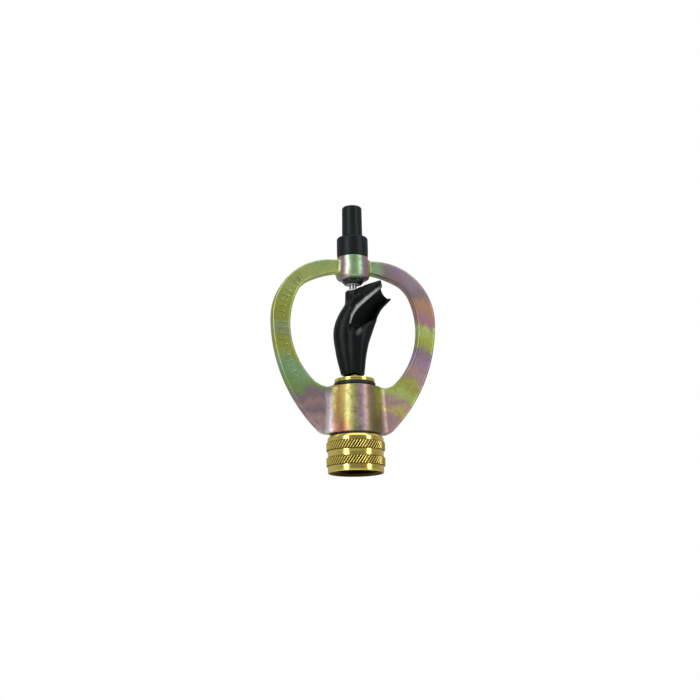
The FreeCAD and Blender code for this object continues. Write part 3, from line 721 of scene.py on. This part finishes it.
class SPRINKLER_OT_casting(bpy.types.Operator):
    """Builds the cast ring with its bosses, fillets and raised marks"""

    bl_idname = "sprinkler.casting"
    bl_label = "Cast Ring"

    def execute(self, context):
        s = context.scene.sprinkler_sizes
        low, high, half = levels("yoke")
        outer, inner = outlines(s)
        thick = mm(s.plate) / 2
        boss_top, head_bottom = mm(s.boss_top), mm(s.head_bottom)
        rim = 0.45
        jet_room_r, jet_room_top, middle = 17, 60, 70

        def field(x, y, z):
            axis_r = np.hypot(x, y)
            flat = np.maximum(half_outline(outer, x, z), -half_outline(inner, x, z))
            plate = rounded_join(flat, np.abs(y) - thick, mm(s.rim_round))
            boss = tapered_boss(axis_r, z, low, boss_top, mm(s.boss_low), mm(s.boss_high), rim, rim)
            head = tapered_boss(
                axis_r, z, head_bottom, high, mm(s.head_low), mm(s.head_high), mm(s.head_round), rim)
            body = fillet_union(plate, boss, mm(s.base_blend))
            above = np.maximum(np.maximum(boss_top - z, z - jet_room_top), axis_r - jet_room_r)
            body = np.maximum(np.maximum(body, -above), low - z)
            body = fillet_union(body, head, mm(s.head_blend))
            bore = np.where(z < middle, mm(s.tail_bore), mm(s.sleeve_bore)) - axis_r
            return np.maximum(body, bore)

        margin = 1.3
        reach = mm(s.boss_low) + margin
        shell = skin("ring_casting", field, (-half - margin, -reach, low - margin),
                     (half + margin, reach, high + margin), mm(s.casting_step))
        finish = chromated()
        fit(shell, "frame", "chromated_casting", finish, "yoke")
        marks = self.marks(s, half, thick)
        fit(marks, "frame", "chromated_casting", finish)
        return {"FINISHED"}

    def marks(self, s, half, thick):
        shoulder = mm(s.ring_shoulder)
        inset = (half - mm(s.window_half_width)) / 2
        side = mm(s.ring_side)
        rise, pip = mm(s.mark_height), mm(s.mark_pip)
        length, width = mm(s.mark_length) / 2, mm(s.mark_width) / 2
        around = np.radians(np.arange(0, 360, 30))
        dot = np.stack([pip * np.cos(around), pip * np.sin(around)], 1)
        bar = np.concatenate([[(sx * (length - width) + width * math.cos(a), width * math.sin(a))
                               for a in np.radians(np.arange(-90, 91, 22.5)) + (0 if sx > 0 else math.pi)]
                              for sx in (1, -1)])
        points, faces = [], []
        for i in range(s.mark_count):
            along = mm(s.mark_high) - mm(s.mark_pitch) * i
            arm_r = shoulder if along > 0 else side
            a = math.pi - along / (arm_r - inset)
            radial = np.array([math.cos(a), math.sin(a)])
            across = np.array([-radial[1], radial[0]])
            shapes = [(dot, -length / 2), (dot, length / 2)] if i % 3 == 2 else [(bar, 0.0)]
            for shape, offset in shapes:
                base = np.array((arm_r - half, mm(s.ring_widest))) + radial * (arm_r - inset + offset)

                def place(u, v, base=base, radial=radial, across=across):
                    return tuple(base + radial * u + across * v)

                mark_solid(points, faces, shape, place, rise, 0.16, -thick)
        return put_mesh("raised_marks", points, faces, smooth_angle=40)


THREAD_MINOR_R, THREAD_MAJOR_R = 12.19, 13.62
LOWER_BAND, UPPER_BAND = (3.4, 8.2), (11.4, 16.2)  # levels of the knurl's two bands
BAND_ROWS = 20  # rows of the mesh up one band
TOOTH_POINTS = 12  # points of the mesh across one tooth


class SPRINKLER_OT_coupling(bpy.types.Operator):
    """Builds the knurled hose coupling with its thread"""

    bl_idname = "sprinkler.coupling"
    bl_label = "Knurled Coupling"

    def execute(self, context):
        s = context.scene.sprinkler_sizes
        low, high, crest = levels("coupling_nut")
        body, top_r, taper = crest - 0.8, crest - 1.8, 1.3
        minor, major, seat, hole = THREAD_MINOR_R, THREAD_MAJOR_R, 13.0, 8.6
        thread_top, floor = 11.0, 16.6
        pitch, teeth = mm(s.thread_pitch), s.knurl_teeth
        segments = teeth * TOOTH_POINTS
        lean = math.tan(s.knurl_angle)
        rows = []  # (kind, r, z): kind is plain, knurl or thread

        def plain(points):
            rows.extend(("plain", r, z) for r, z in points)

        def band(z0, z1):
            plain([(body, z0 - 0.03)])
            bevel = crest - body
            for i in range(BAND_ROWS + 1):
                z = z0 + (z1 - z0) * i / BAND_ROWS
                end = min(z - z0, z1 - z)
                rows.append(("knurl", min(crest, body + 0.12 + end * bevel / 0.45), z))
            plain([(body, z1 + 0.03)])

        edge = rounded([(body - 2, low), (body, low, 0.5), (body, 8)], closed=False)[1:-1]
        plain(edge)
        plain([(body, 1.6), (body, 2.6)])
        band(*LOWER_BAND)
        plain([(body, 9.0), (body - 0.06, 9.4), (body - 0.06, 10.2), (body, 10.6)])
        band(*UPPER_BAND)
        plain([(body, 17.0)])
        crown = [(body, 17.0), (body, high - taper, 0.5), (top_r, high, 0.45), (hole, high)]
        plain(rounded(crown, closed=False)[1:-1])
        outer_rows = len(rows)
        plain([(hole + 1.5, high)])
        plain(rounded([(hole + 1.5, high), (hole, high, 0.3), (hole, floor, 0.2), (seat, floor, 0.3),
                       (seat, thread_top)], closed=False)[1:-1])
        plain([(seat, thread_top + 0.4)])
        steps = int((thread_top - low - 1.6) / pitch * 6)
        for i in range(steps + 1):
            rows.append(("thread", 0.0, thread_top - (thread_top - low - 1.5) * i / steps))
        plain([(major, low + 1.35), (major + 0.25, low + 0.5), (major + 0.55, low + 0.06)])

        turns, twist = [], 0.0
        for k, (kind, r, z) in enumerate(rows):
            if kind == "knurl" and rows[k - 1][0] == "knurl":
                twist += (z - rows[k - 1][2]) * lean / crest
            if k >= outer_rows:
                share_left = 1 - (k - outer_rows + 1) / (len(rows) - outer_rows)
                turns.append(twist * share_left)
            else:
                turns.append(twist)
        a = 2 * np.pi * np.arange(segments) / segments
        points, valley = [], []
        for (kind, r, z), turn in zip(rows, turns):
            here = a + turn
            if kind == "knurl":
                main = np.abs((np.arange(segments) / TOOTH_POINTS + 0.5) % 1 * 2 - 1)
                cross = here * teeth / (2 * np.pi) + z * lean / crest * teeth / (2 * np.pi)
                cross = np.abs((cross + 0.5) % 1 * 2 - 1)
                cut = mm(s.knurl_depth) * np.maximum(1 - main, s.knurl_cross * (1 - cross))
                radius = np.maximum(r - cut, body - 0.05)
            elif kind == "thread":
                phase = np.abs((z / pitch - here / (2 * np.pi)) % 1 * 2 - 1)
                radius = minor + (major - minor) * np.clip(phase * 1.3 - 0.15, 0, 1)
            else:
                radius = np.full(segments, r)
            points.append(np.stack([radius * np.cos(here), radius * np.sin(here), np.full(segments, z)], 1))
            # Painted shade: the knurl's grooves, by their depth, and the whole inside get the dark brass
            # colour.
            inside = len(valley) >= outer_rows + 3
            depth = (crest - radius) / mm(s.knurl_depth)
            valley.append(depth if kind == "knurl" else np.full(segments, 1.0 * inside))
        points = np.concatenate(points)
        j = np.arange(segments)
        k = (j + 1) % segments
        faces = []
        for i in range(len(rows)):
            n = (i + 1) % len(rows)
            faces.append(np.stack([i * segments + j, i * segments + k, n * segments + k, n * segments + j], 1))
        made = put_mesh("hose_coupling", points, np.concatenate(faces), smooth_angle=28)
        put_shares(made, "valley", np.clip(np.concatenate(valley), 0, 1))
        finish = brass(context.scene.sprinkler_colours, "coupling brass", 0.17, "valley")
        fit(made, "coupling", "turned_brass", finish, "coupling_nut")
        return {"FINISHED"}


class SPRINKLER_OT_washers(bpy.types.Operator):
    """Builds the rubber washers and the two thrust washers"""

    bl_idname = "sprinkler.washers"
    bl_label = "Washers"

    def execute(self, context):
        c = context.scene.sprinkler_colours
        hose = plastic("hose rubber", c.hose_rubber, 0.62, 0.5, 0.00004)
        seal = plastic("seal rubber", c.seal_rubber, 0.42, 0.4, 0.00003)
        white = plastic("bearing plastic", c.bearing, 0.4, 0.3)
        low, high, r = levels("hose_washer")
        fit(turned("hose_seal", [(8.0, low, 0.4), (r - 0.9, low, 0.5), (r, low + 0.9, 0.4), (r, high, 0.5),
                                 (8.0, high, 0.4)]), "coupling", "hose_rubber", hose, "hose_washer")
        for name, node, inner, finish, slot, body in (
                ("tail_seal", "tail_washer", 7.4, seal, "seal_rubber", "frame"),
                ("jet_seal", "jet_washer", 7.4, seal, "seal_rubber", "frame"),
                ("head_thrust_ring", "head_washer", 2.15, white, "white_bearing", "frame"),
                ("hub_thrust_ring", "hub_washer", 2.15, white, "white_bearing", "thrust_washer")):
            low, high, r = levels(node)
            edge = 0.45 * (high - low)
            profile = [(inner, low, edge / 2), (r, low, edge), (r, high, edge), (inner, high, edge / 2)]
            fit(turned(name, profile), body, slot, finish, node)
        return {"FINISHED"}


JET_DECK = 47.9  # level of the jet's washer
TAIL_NECK = 19.6  # where the tail narrows to go into the boss
CAP_DECK, CAP_SHOULDER, SLEEVE_STEP = 125.4, 127.4, 103.8


class SPRINKLER_OT_fittings(bpy.types.Operator):
    """Builds the turned brass jet and the tail that the coupling swivels on"""

    bl_idname = "sprinkler.fittings"
    bl_label = "Brass Jet and Tail"

    def execute(self, context):
        finish = brass(context.scene.sprinkler_colours)
        low, high, r = levels("jet_nozzle")
        deck = JET_DECK
        fit(turned("brass_jet", [
            (4.5, low, 0.3), (5.95, low, 0.3), (5.95, deck - 0.2), (6.2, deck), (r, deck, 0.3),
            (r, deck + 1.9, 0.5), (6.9, deck + 1.9, 0.3), (5.6, deck + 2.1, 0.3), (5.6, deck + 3.1, 0.4), (4.0, deck + 3.1, 0.5),
            (2.8, high, 0.25), (2.0, high, 0.15), (2.0, high - 3.0), (4.5, high - 6.5)]),
            "frame", "turned_brass", finish, "jet_nozzle")
        low, high, r = levels("swivel_tail")
        fit(turned("brass_tail", [
            (6.7, low, 0.2), (r - 0.1, low, 0.4), (r, low + 2.2, 0.4), (8.3, low + 2.2, 0.3),
            (8.3, TAIL_NECK - 0.05, 0.2),
            (7.3, TAIL_NECK), (7.3, high, 0.3), (6.0, high, 0.2), (6.0, low + 1.2)]),
            "frame", "turned_brass", finish, "swivel_tail")
        return {"FINISHED"}


class SPRINKLER_OT_bearing(bpy.types.Operator):
    """Builds the bearing sleeve and the cap, and gives the parts inside them their finish"""

    bl_idname = "sprinkler.bearing"
    bl_label = "Bearing and Cap"

    def execute(self, context):
        c = context.scene.sprinkler_colours
        low, high, r = levels("bearing_sleeve")
        fit(turned("sleeve", [
            (3.12, low, 0.2), (4.5, low, 0.5), (r, low + 1.3, 0.5), (r, SLEEVE_STEP - 0.02, 0.3),
            (5.0, SLEEVE_STEP), (5.0, CAP_DECK, 0.3), (3.8, CAP_DECK), (3.8, high, 0.2), (3.12, high)]),
            "frame", "black_acetal", plastic("sleeve plastic", c.acetal, 0.3, 0.3), "bearing_sleeve")
        low, high, r = levels("top_cap")
        shoulder = CAP_SHOULDER
        fit(turned("cap", [
            (5.06, low, 0.15), (r - 0.12, low, 0.35), (r, low + 3.0), (r - 0.05, shoulder, 1.7),
            (5.75, shoulder + 0.1, 0.5), (5.45, shoulder + 0.9, 0.3), (5.3, high, 1.5), (0.0, high),
            (0.0, high - 2.0), (4.1, high - 2.0, 0.4), (4.1, CAP_DECK + 0.1), (5.06, CAP_DECK)]),
            "frame", "cap_plastic", plastic("cap plastic", c.cap, 0.42, 0.8, 0.00006, 420.0, 1.33), "top_cap")
        white = plastic("bush plastic", c.bearing, 0.4, 0.3)
        for name in ("lower_bush", "upper_bush", "thrust_pad"):
            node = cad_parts[name]
            node.data.materials.clear()
            node.data.materials.append(white)
        return {"FINISHED"}


HUB_TOP = 97.5
# Stations up the rotor's bent body: x, height above the foot, half width, half depth, squareness, wall.
ROTOR_STATIONS = np.array([
    (-0.9, 0.0, 6.3, 5.9, 2.0, 1.6),
    (-1.5, 12.3, 8.5, 6.7, 2.2, 2.0),
    (-0.6, 22.9, 10.2, 7.2, 2.3, 2.0),
    (3.2, 31.7, 9.7, 7.0, 2.4, 1.9),
    (9.4, 39.7, 7.6, 6.3, 2.5, 1.7),
    (18.6, 46.9, 5.6, 5.3, 2.6, 1.5),
])
# Edge of the scoop's opening, seen from the front: up its left side, over to the mouth, and back down.
ROTOR_OPENING = np.array([
    (-3.0, 24.0), (-2.6, 26.2), (-1.4, 30.2), (1.6, 34.6), (6.0, 38.7), (12.0, 43.8), (17.0, 47.6),
    (24.5, 46.3), (20.4, 42.2), (16.6, 37.4), (13.4, 33.0), (10.2, 29.6), (7.0, 27.8), (4.0, 26.0), (1.4, 24.5), (-0.9, 22.9),
    (-2.4, 22.4),
])
# Outline of the web that joins the hub to the scoop's roof.
ROTOR_ROOF = np.array([
    (-3.6, 36.0), (-1.2, 44.6), (3.9, 47.4), (9.0, 49.3), (15.0, 51.0), (14.0, 46.5), (6.0, 38.0), (0.0, 33.0),
])
# The rolled hump below the opening: x, y, height above the foot, radius.
ROTOR_HUMP = (
    (2.6, -3.4, 8, 3.4), (2.3, -3.6, 20.0, 3.9), (6.2, -3.4, 23.6, 3.6), (10.8, -3.0, 27.6, 2.8),
    (15.6, -2.9, 34.4, 2.0), (20.0, -2.6, 40.0, 1.4),
)
# Upper and lower tip of the mouth, and how deep its edge is hollowed between them.
ROTOR_MOUTH = np.array([(14.6, 50.5), (20.6, 41.5)])
MOUTH_HOLLOW = 1.7


def smooth_rows(rows, step=0.35, run_out=6.0):
    """The rows of a table drawn out into a smooth curve at even steps, and run on straight past both ends."""
    places = np.concatenate([[0], np.cumsum(np.linalg.norm(np.diff(rows[:, :2], axis=0), axis=1))])
    slopes = np.gradient(rows, places, axis=0)
    at = np.arange(0, places[-1], step)
    i = np.clip(np.searchsorted(places, at, side="right") - 1, 0, len(rows) - 2)
    span = (places[i + 1] - places[i])[:, None]
    t = ((at - places[i])[:, None]) / span
    made = ((2 * t ** 3 - 3 * t ** 2 + 1) * rows[i] + (t ** 3 - 2 * t ** 2 + t) * span * slopes[i]
            + (3 * t ** 2 - 2 * t ** 3) * rows[i + 1] + (t ** 3 - t ** 2) * span * slopes[i + 1])
    ends = []
    for row, before in ((made[0], made[1]), (made[-1], made[-2])):
        way = (row - before)[:2]
        more = np.repeat(row[None], int(run_out / step), 0)
        more[:, :2] += way / np.linalg.norm(way) * step * np.arange(1, len(more) + 1)[:, None]
        ends.append(more)
    return np.concatenate([ends[0][::-1], made, ends[1]])


def softened(outline, steps=4):
    """A closed outline drawn out into a smooth curve through its points."""
    a, b, c, d = (np.roll(outline, n, axis=0)[:, None] for n in (1, 0, -1, -2))
    t = (np.arange(steps) / steps)[None, :, None]
    made = b + 0.5 * t * (c - a + t * (2 * a - 5 * b + 4 * c - d + t * (3 * (b - c) + d - a)))
    return made.reshape(-1, 2)


class SPRINKLER_OT_rotor(bpy.types.Operator):
    """Builds the bent scoop that the water drives round"""

    bl_idname = "sprinkler.rotor"
    bl_label = "Rotor"

    def execute(self, context):
        s = context.scene.sprinkler_sizes
        foot, _, _ = levels("rotor")
        line = smooth_rows(ROTOR_STATIONS)
        cx, cz = line[:, 0], line[:, 1] + foot
        heading = np.arctan2(np.gradient(cz), np.gradient(cx))
        gap = np.hypot(np.gradient(cz), np.gradient(cx))
        opening, roof_line = ROTOR_OPENING + (0, foot), ROTOR_ROOF + (0, foot)
        soft_opening = softened(opening)
        lip_line = [(x - 0.5, -4.6, z + 0.5) for x, z in opening[1:7]]
        hump_line = [(x, y, z + foot) for x, y, z, _ in ROTOR_HUMP]
        hump_radius = [radius for *_, radius in ROTOR_HUMP]
        tip_high, tip_low = ROTOR_MOUTH + (0, foot)
        hollow = MOUTH_HOLLOW
        chord = tip_low - tip_high
        outward = np.array((-chord[1], chord[0])) / np.linalg.norm(chord)
        half_chord = np.linalg.norm(chord) / 2
        mouth_r = (half_chord ** 2 + hollow ** 2) / (2 * hollow)
        mouth_c = (tip_high + tip_low) / 2 + outward * (mouth_r - hollow)
        lip = mm(s.rotor_lip)

        def sweep(x, y, z):
            shape = x.shape
            x, y, z = x.ravel(), y.ravel(), z.ravel()
            near = np.empty(len(x), int)
            for i in range(0, len(x), 20000):
                part = slice(i, i + 20000)
                near[part] = ((x[part, None] - cx) ** 2 + (z[part, None] - cz) ** 2).argmin(1)
            place, steps = near.astype(float), np.arange(len(line))
            for _ in range(3):
                px, pz, h, g = (np.interp(place, steps, v) for v in (cx, cz, heading, gap))
                along = ((x - px) * np.cos(h) + (z - pz) * np.sin(h)) / g
                place = np.clip(place + along, near - 2, near + 2)
            px, pz, h, a, b, n, wall = (np.interp(place, steps, v) for v in (cx, cz, heading, *line[:, 2:].T))
            u = -(x - px) * np.sin(h) + (z - pz) * np.cos(h)
            away = np.hypot(u, y) + 1e-9

            def within(inset):
                g = ((np.abs(u) / (a - wall * inset)) ** n + (np.abs(y) / (b - wall * inset)) ** n) ** (1 / n)
                return away - away / np.maximum(g, 1e-6)

            return within(0.0).reshape(shape), within(1.0).reshape(shape)

        def chain(x, y, z, line, radii, blend):
            made = np.full(x.shape, 99.0)
            for a, b, ra, rb in zip(line, line[1:], radii, radii[1:]):
                made = smooth_min(made, capsule(x, y, z, a, b, ra, rb), blend)
            return made

        def field(x, y, z):
            axis_r = np.hypot(x, y)
            body, channel = sweep(x, y, z)
            body = smooth_max(body, foot - 0.7 - z, 0.9)
            bar = mm(s.groove_radius)
            front = mm(s.groove_depth) - bar
            groove = chain(x, y, z, [(-1.3, front - 5.9, foot), (-1.4, front - 6.7, foot + 12),
                                     (-1.7, front - 7.1, foot + 23)], [bar] * 3, 1.0)
            body = smooth_max(body, -groove, 2.4)
            roof = rounded_join(polygon(roof_line, x, z), np.abs(y) - 5.0, 1.6)
            body = smooth_min(body, roof, 2.4)
            ridge_line = [(-2.6, -3.6, 89.6), (3.6, -4.9, 94.6), (14.6, -4.2, 101.2)]
            ridge = chain(x, y, z, ridge_line, [0.7, 1.2, 1.2], 1.0)
            body = smooth_min(body, ridge, 2.4)
            hub = tapered_boss(axis_r, z, 88.0, HUB_TOP, 4.5, 4.25, 0.4, 0.4)
            shell = smooth_max(smooth_min(body, hub, 0.8), -channel, 0.5)
            core = tapered_boss(axis_r, z, 88.5, HUB_TOP, 3.4, 3.4, 0.8, 0.3)
            shell = smooth_min(shell, core, 0.6)
            lips = np.minimum(chain(x, y, z, lip_line, [2.0] * len(lip_line), 1.0),
                              chain(x, y, z, hump_line, hump_radius, 1.0))
            shell = np.minimum(shell, np.maximum(lips, body + 0.6))
            along = 0.50 * (x + 2.0) + 0.87 * (z - foot - 20.8)
            ramp = (along - 1.25 * (y + 6.6)) / 1.6
            wedge = smooth_max(smooth_max(ramp - 1.0, y - 1.0, 4.0), foot + 12 - z, 3.0)
            shell = smooth_min(shell, np.maximum(wedge, body + 1.6), 1.4)
            cut = smooth_max(smooth_max(polygon(soft_opening, x, z), y + 1.5, 1.0), -ramp, 2.5)
            shell = rounded_join(shell, -cut, lip)
            ahead = x - 0.22 * (y + 4)
            beyond = np.minimum(np.hypot(ahead - mouth_c[0], z - mouth_c[1]) - mouth_r,
                                -((ahead - tip_high[0]) * outward[0] + (z - tip_high[1]) * outward[1]))
            shell = smooth_max(shell, -beyond, 0.5)
            room = np.maximum(axis_r - 3.95, HUB_TOP - z)
            nub = np.maximum(axis_r - 6.05, 99.85 - z)
            shell = smooth_max(shell, -np.minimum(room, nub), 0.3)
            return np.maximum(shell, -np.maximum(axis_r - 2.02, 91.5 - z))

        low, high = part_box("rotor")
        margin = 1.2
        low, high = [c / MM - margin for c in low], [c / MM + margin for c in high]
        made = skin("scoop_rotor", field, low, high, mm(s.rotor_step))
        spots = np.array([v.co for v in made.data.vertices]) / MM
        x, y, z = spots.T
        # Painted highlights: a pale base colour and a clear coat along the opening's lip and on the hump, where
        # the lights glint.
        highlight_line = [(a + 0.2, -6.4, c - 0.2) for a, _, c in lip_line]
        from_highlight_line = chain(x, y, z, highlight_line, [0.2, 0.5, 0.9, 0.9, 0.7, 0.2], 0.5)
        hump = capsule(x, y, z, (0.5, -7.0, foot + 20.8), (1.8, -6.8, foot + 22.6), 0.2)
        highlight_share = np.maximum(np.clip(1.15 - from_highlight_line / 1.1, 0, 1), 0.45 * np.clip(1 - hump / 1.8, 0, 1)) ** 1.6
        put_shares(made, "polish", highlight_share)
        base = context.scene.sprinkler_colours.rotor
        finish = plastic("rotor plastic", base, 0.38, 0.06, 0.00001, 300.0, 1.28, "polish")
        fit(made, "rotor", "rotor_plastic", finish, "rotor")
        return {"FINISHED"}


class SPRINKLER_OT_spindle(bpy.types.Operator):
    """Builds the steel pin that carries the rotor"""

    bl_idname = "sprinkler.spindle"
    bl_label = "Spindle"

    def execute(self, context):
        low, high, r = levels("rotor_spindle")
        head = high - 2.0
        profile = [(0, low), (2.0, low, 0.3), (2.0, head), (r, head, 0.3), (r, high, 0.5), (0, high)]
        fit(turned("spindle", profile, closed=False, segments=96),
            "rotor", "spindle_steel", steel(context.scene.sprinkler_colours), "rotor_spindle")
        return {"FINISHED"}


FLOOR_R, FLOOR_HOLE_R = 1600, mm(0.0143)
LENS_SHIFT = (-0.0055, -0.0164)
# The lights: name; azimuth, elevation and distance; width and height; setting that holds the power.
SOFTBOXES = (
    ("left", (-53.0, 20.0, 0.55), (0.15, 0.62), "left_power"),
    ("right", (42.0, 20.0, 0.55), (0.12, 0.62), "right_power"),
    ("top", (10.0, 78.0, 0.6), (0.6, 0.5), "top_power"),
)


class SPRINKLER_OT_stage(bpy.types.Operator):
    """Sets up the floor, the lights, the surroundings and the camera"""

    bl_idname = "sprinkler.stage"
    bl_label = "Studio"

    def execute(self, context):
        scene = context.scene
        st = scene.sprinkler_stage
        self.floor(scene)
        self.world(scene, st)
        aim = Vector((0, 0, st.aim))
        for name, place, extent, power in SOFTBOXES:
            self.light(scene, f"{name} softbox", *place, extent, getattr(st, power), aim)
        self.camera(scene, st, aim)
        scene.view_settings.view_transform = "Standard"
        scene.view_settings.look = "None"
        return {"FINISHED"}

    def floor(self, scene):
        """A round pale floor, seen from above only, with a hole under the coupling for light to get in."""
        made = turned("floor", [(FLOOR_R, 0), (FLOOR_HOLE_R, 0)], closed=False, segments=96)
        made.modifiers.clear()
        pale, root, where = material("pale floor")
        cloud = root.noise(where, 6.0, 3.0)
        base = cloud.blend(tuple(scene.sprinkler_colours.floor),
                           tuple(c * 0.97 for c in scene.sprinkler_colours.floor))
        surface = root.node("ShaderNodeBsdfPrincipled", inputs={"Base Color": base, "Roughness": 0.75})
        clear = root.node("ShaderNodeBsdfTransparent")
        under = root.node("ShaderNodeNewGeometry", output="Backfacing")
        both = root.node("ShaderNodeMixShader", inputs={0: under, 1: surface, 2: clear})
        root.node("ShaderNodeOutputMaterial", inputs={"Surface": both}, output=None)
        made.data.materials.append(pale)

    def world(self, scene, st):
        """White behind the object; what it reflects is a grey room, darker on the camera's side."""
        world = bpy.data.worlds.new("studio")
        world.use_nodes = True
        world.node_tree.nodes.clear()
        scene.world = world
        root = Socket(world.node_tree)
        x, y, z = root.node("ShaderNodeTexCoord", output="Generated").parts()
        back = y.between(-0.9, 0.7)
        up = z.between(-0.6, 0.9)
        room = st.surround * (0.45 + 0.75 * back + 0.35 * up)
        seen = root.node("ShaderNodeLightPath", output="Is Camera Ray")
        level = seen + (1.0 - seen) * room
        ground = root.node("ShaderNodeBackground", inputs={"Color": (1.0, 1.0, 1.0, 1.0), "Strength": level})
        root.node("ShaderNodeOutputWorld", inputs={"Surface": ground}, output=None)

    def light(self, scene, name, azimuth, elevation, distance, extent, power, aim):
        data = bpy.data.lights.new(name, "AREA")
        data.shape = "RECTANGLE"
        data.size, data.size_y = extent
        data.energy = power
        made = bpy.data.objects.new(name, data)
        scene.collection.objects.link(made)
        az, el = math.radians(azimuth), math.radians(elevation)
        away = Vector((math.sin(az) * math.cos(el), -math.cos(az) * math.cos(el), math.sin(el)))
        made.location = aim + away * distance
        made.rotation_euler = away.to_track_quat("Z", "Y").to_euler()

    def camera(self, scene, st, aim):
        data = bpy.data.cameras.new("camera")
        data.lens = st.lens
        data.sensor_width = 36.0
        data.shift_x, data.shift_y = LENS_SHIFT
        data.clip_start = 0.01
        made = bpy.data.objects.new("camera", data)
        scene.collection.objects.link(made)
        az, el = st.azimuth, st.elevation
        back = Vector((math.sin(az) * math.cos(el), -math.cos(az) * math.cos(el), math.sin(el)))
        right = Vector((math.cos(az), math.sin(az), 0))
        up = Vector((-math.sin(az) * math.sin(el), math.cos(az) * math.sin(el), math.cos(el)))
        c, s = math.cos(st.roll), math.sin(st.roll)
        turn = Matrix((right * c + up * s, right * -s + up * c, back)).transposed()
        made.matrix_world = Matrix.Translation(aim + back * st.distance) @ turn.to_4x4()
        scene.camera = made


OPERATORS = (
    SPRINKLER_OT_casting, SPRINKLER_OT_coupling, SPRINKLER_OT_washers, SPRINKLER_OT_fittings,
    SPRINKLER_OT_bearing, SPRINKLER_OT_rotor, SPRINKLER_OT_spindle, SPRINKLER_OT_stage,
)


class SPRINKLER_PT_panel(bpy.types.Panel):
    """Lists the sprinkler's operators and settings"""

    bl_idname = "SPRINKLER_PT_panel"
    bl_label = "Ring Sprinkler"
    bl_space_type = "VIEW_3D"
    bl_region_type = "UI"
    bl_category = "Sprinkler"

    def draw(self, context):
        for operator in OPERATORS:
            self.layout.operator(operator.bl_idname)
        scene = context.scene
        for group in (scene.sprinkler_sizes, scene.sprinkler_colours, scene.sprinkler_stage):
            box = self.layout.box()
            for key in group.bl_rna.properties.keys():
                if key not in ("rna_type", "name"):
                    box.prop(group, key)


GROUPS = (SprinklerSizes, SprinklerColours, SprinklerStage)
CLASSES = (*GROUPS, *OPERATORS, SPRINKLER_PT_panel)


def register():
    for cls in CLASSES:
        bpy.utils.register_class(cls)
    bpy.types.Scene.sprinkler_sizes = bpy.props.PointerProperty(type=SprinklerSizes)
    bpy.types.Scene.sprinkler_colours = bpy.props.PointerProperty(type=SprinklerColours)
    bpy.types.Scene.sprinkler_stage = bpy.props.PointerProperty(type=SprinklerStage)


def unregister():
    del bpy.types.Scene.sprinkler_sizes
    del bpy.types.Scene.sprinkler_colours
    del bpy.types.Scene.sprinkler_stage
    for cls in reversed(CLASSES):
        bpy.utils.unregister_class(cls)


def main():
    register()
    for operator in OPERATORS:
        group, name = operator.bl_idname.split(".")
        result = getattr(getattr(bpy.ops, group), name)()
        if result != {"FINISHED"}:
            raise RuntimeError(f"{operator.bl_idname} didn't finish: {result}")
    bpy.context.view_layer.update()


if __name__ == "__main__":
    main()
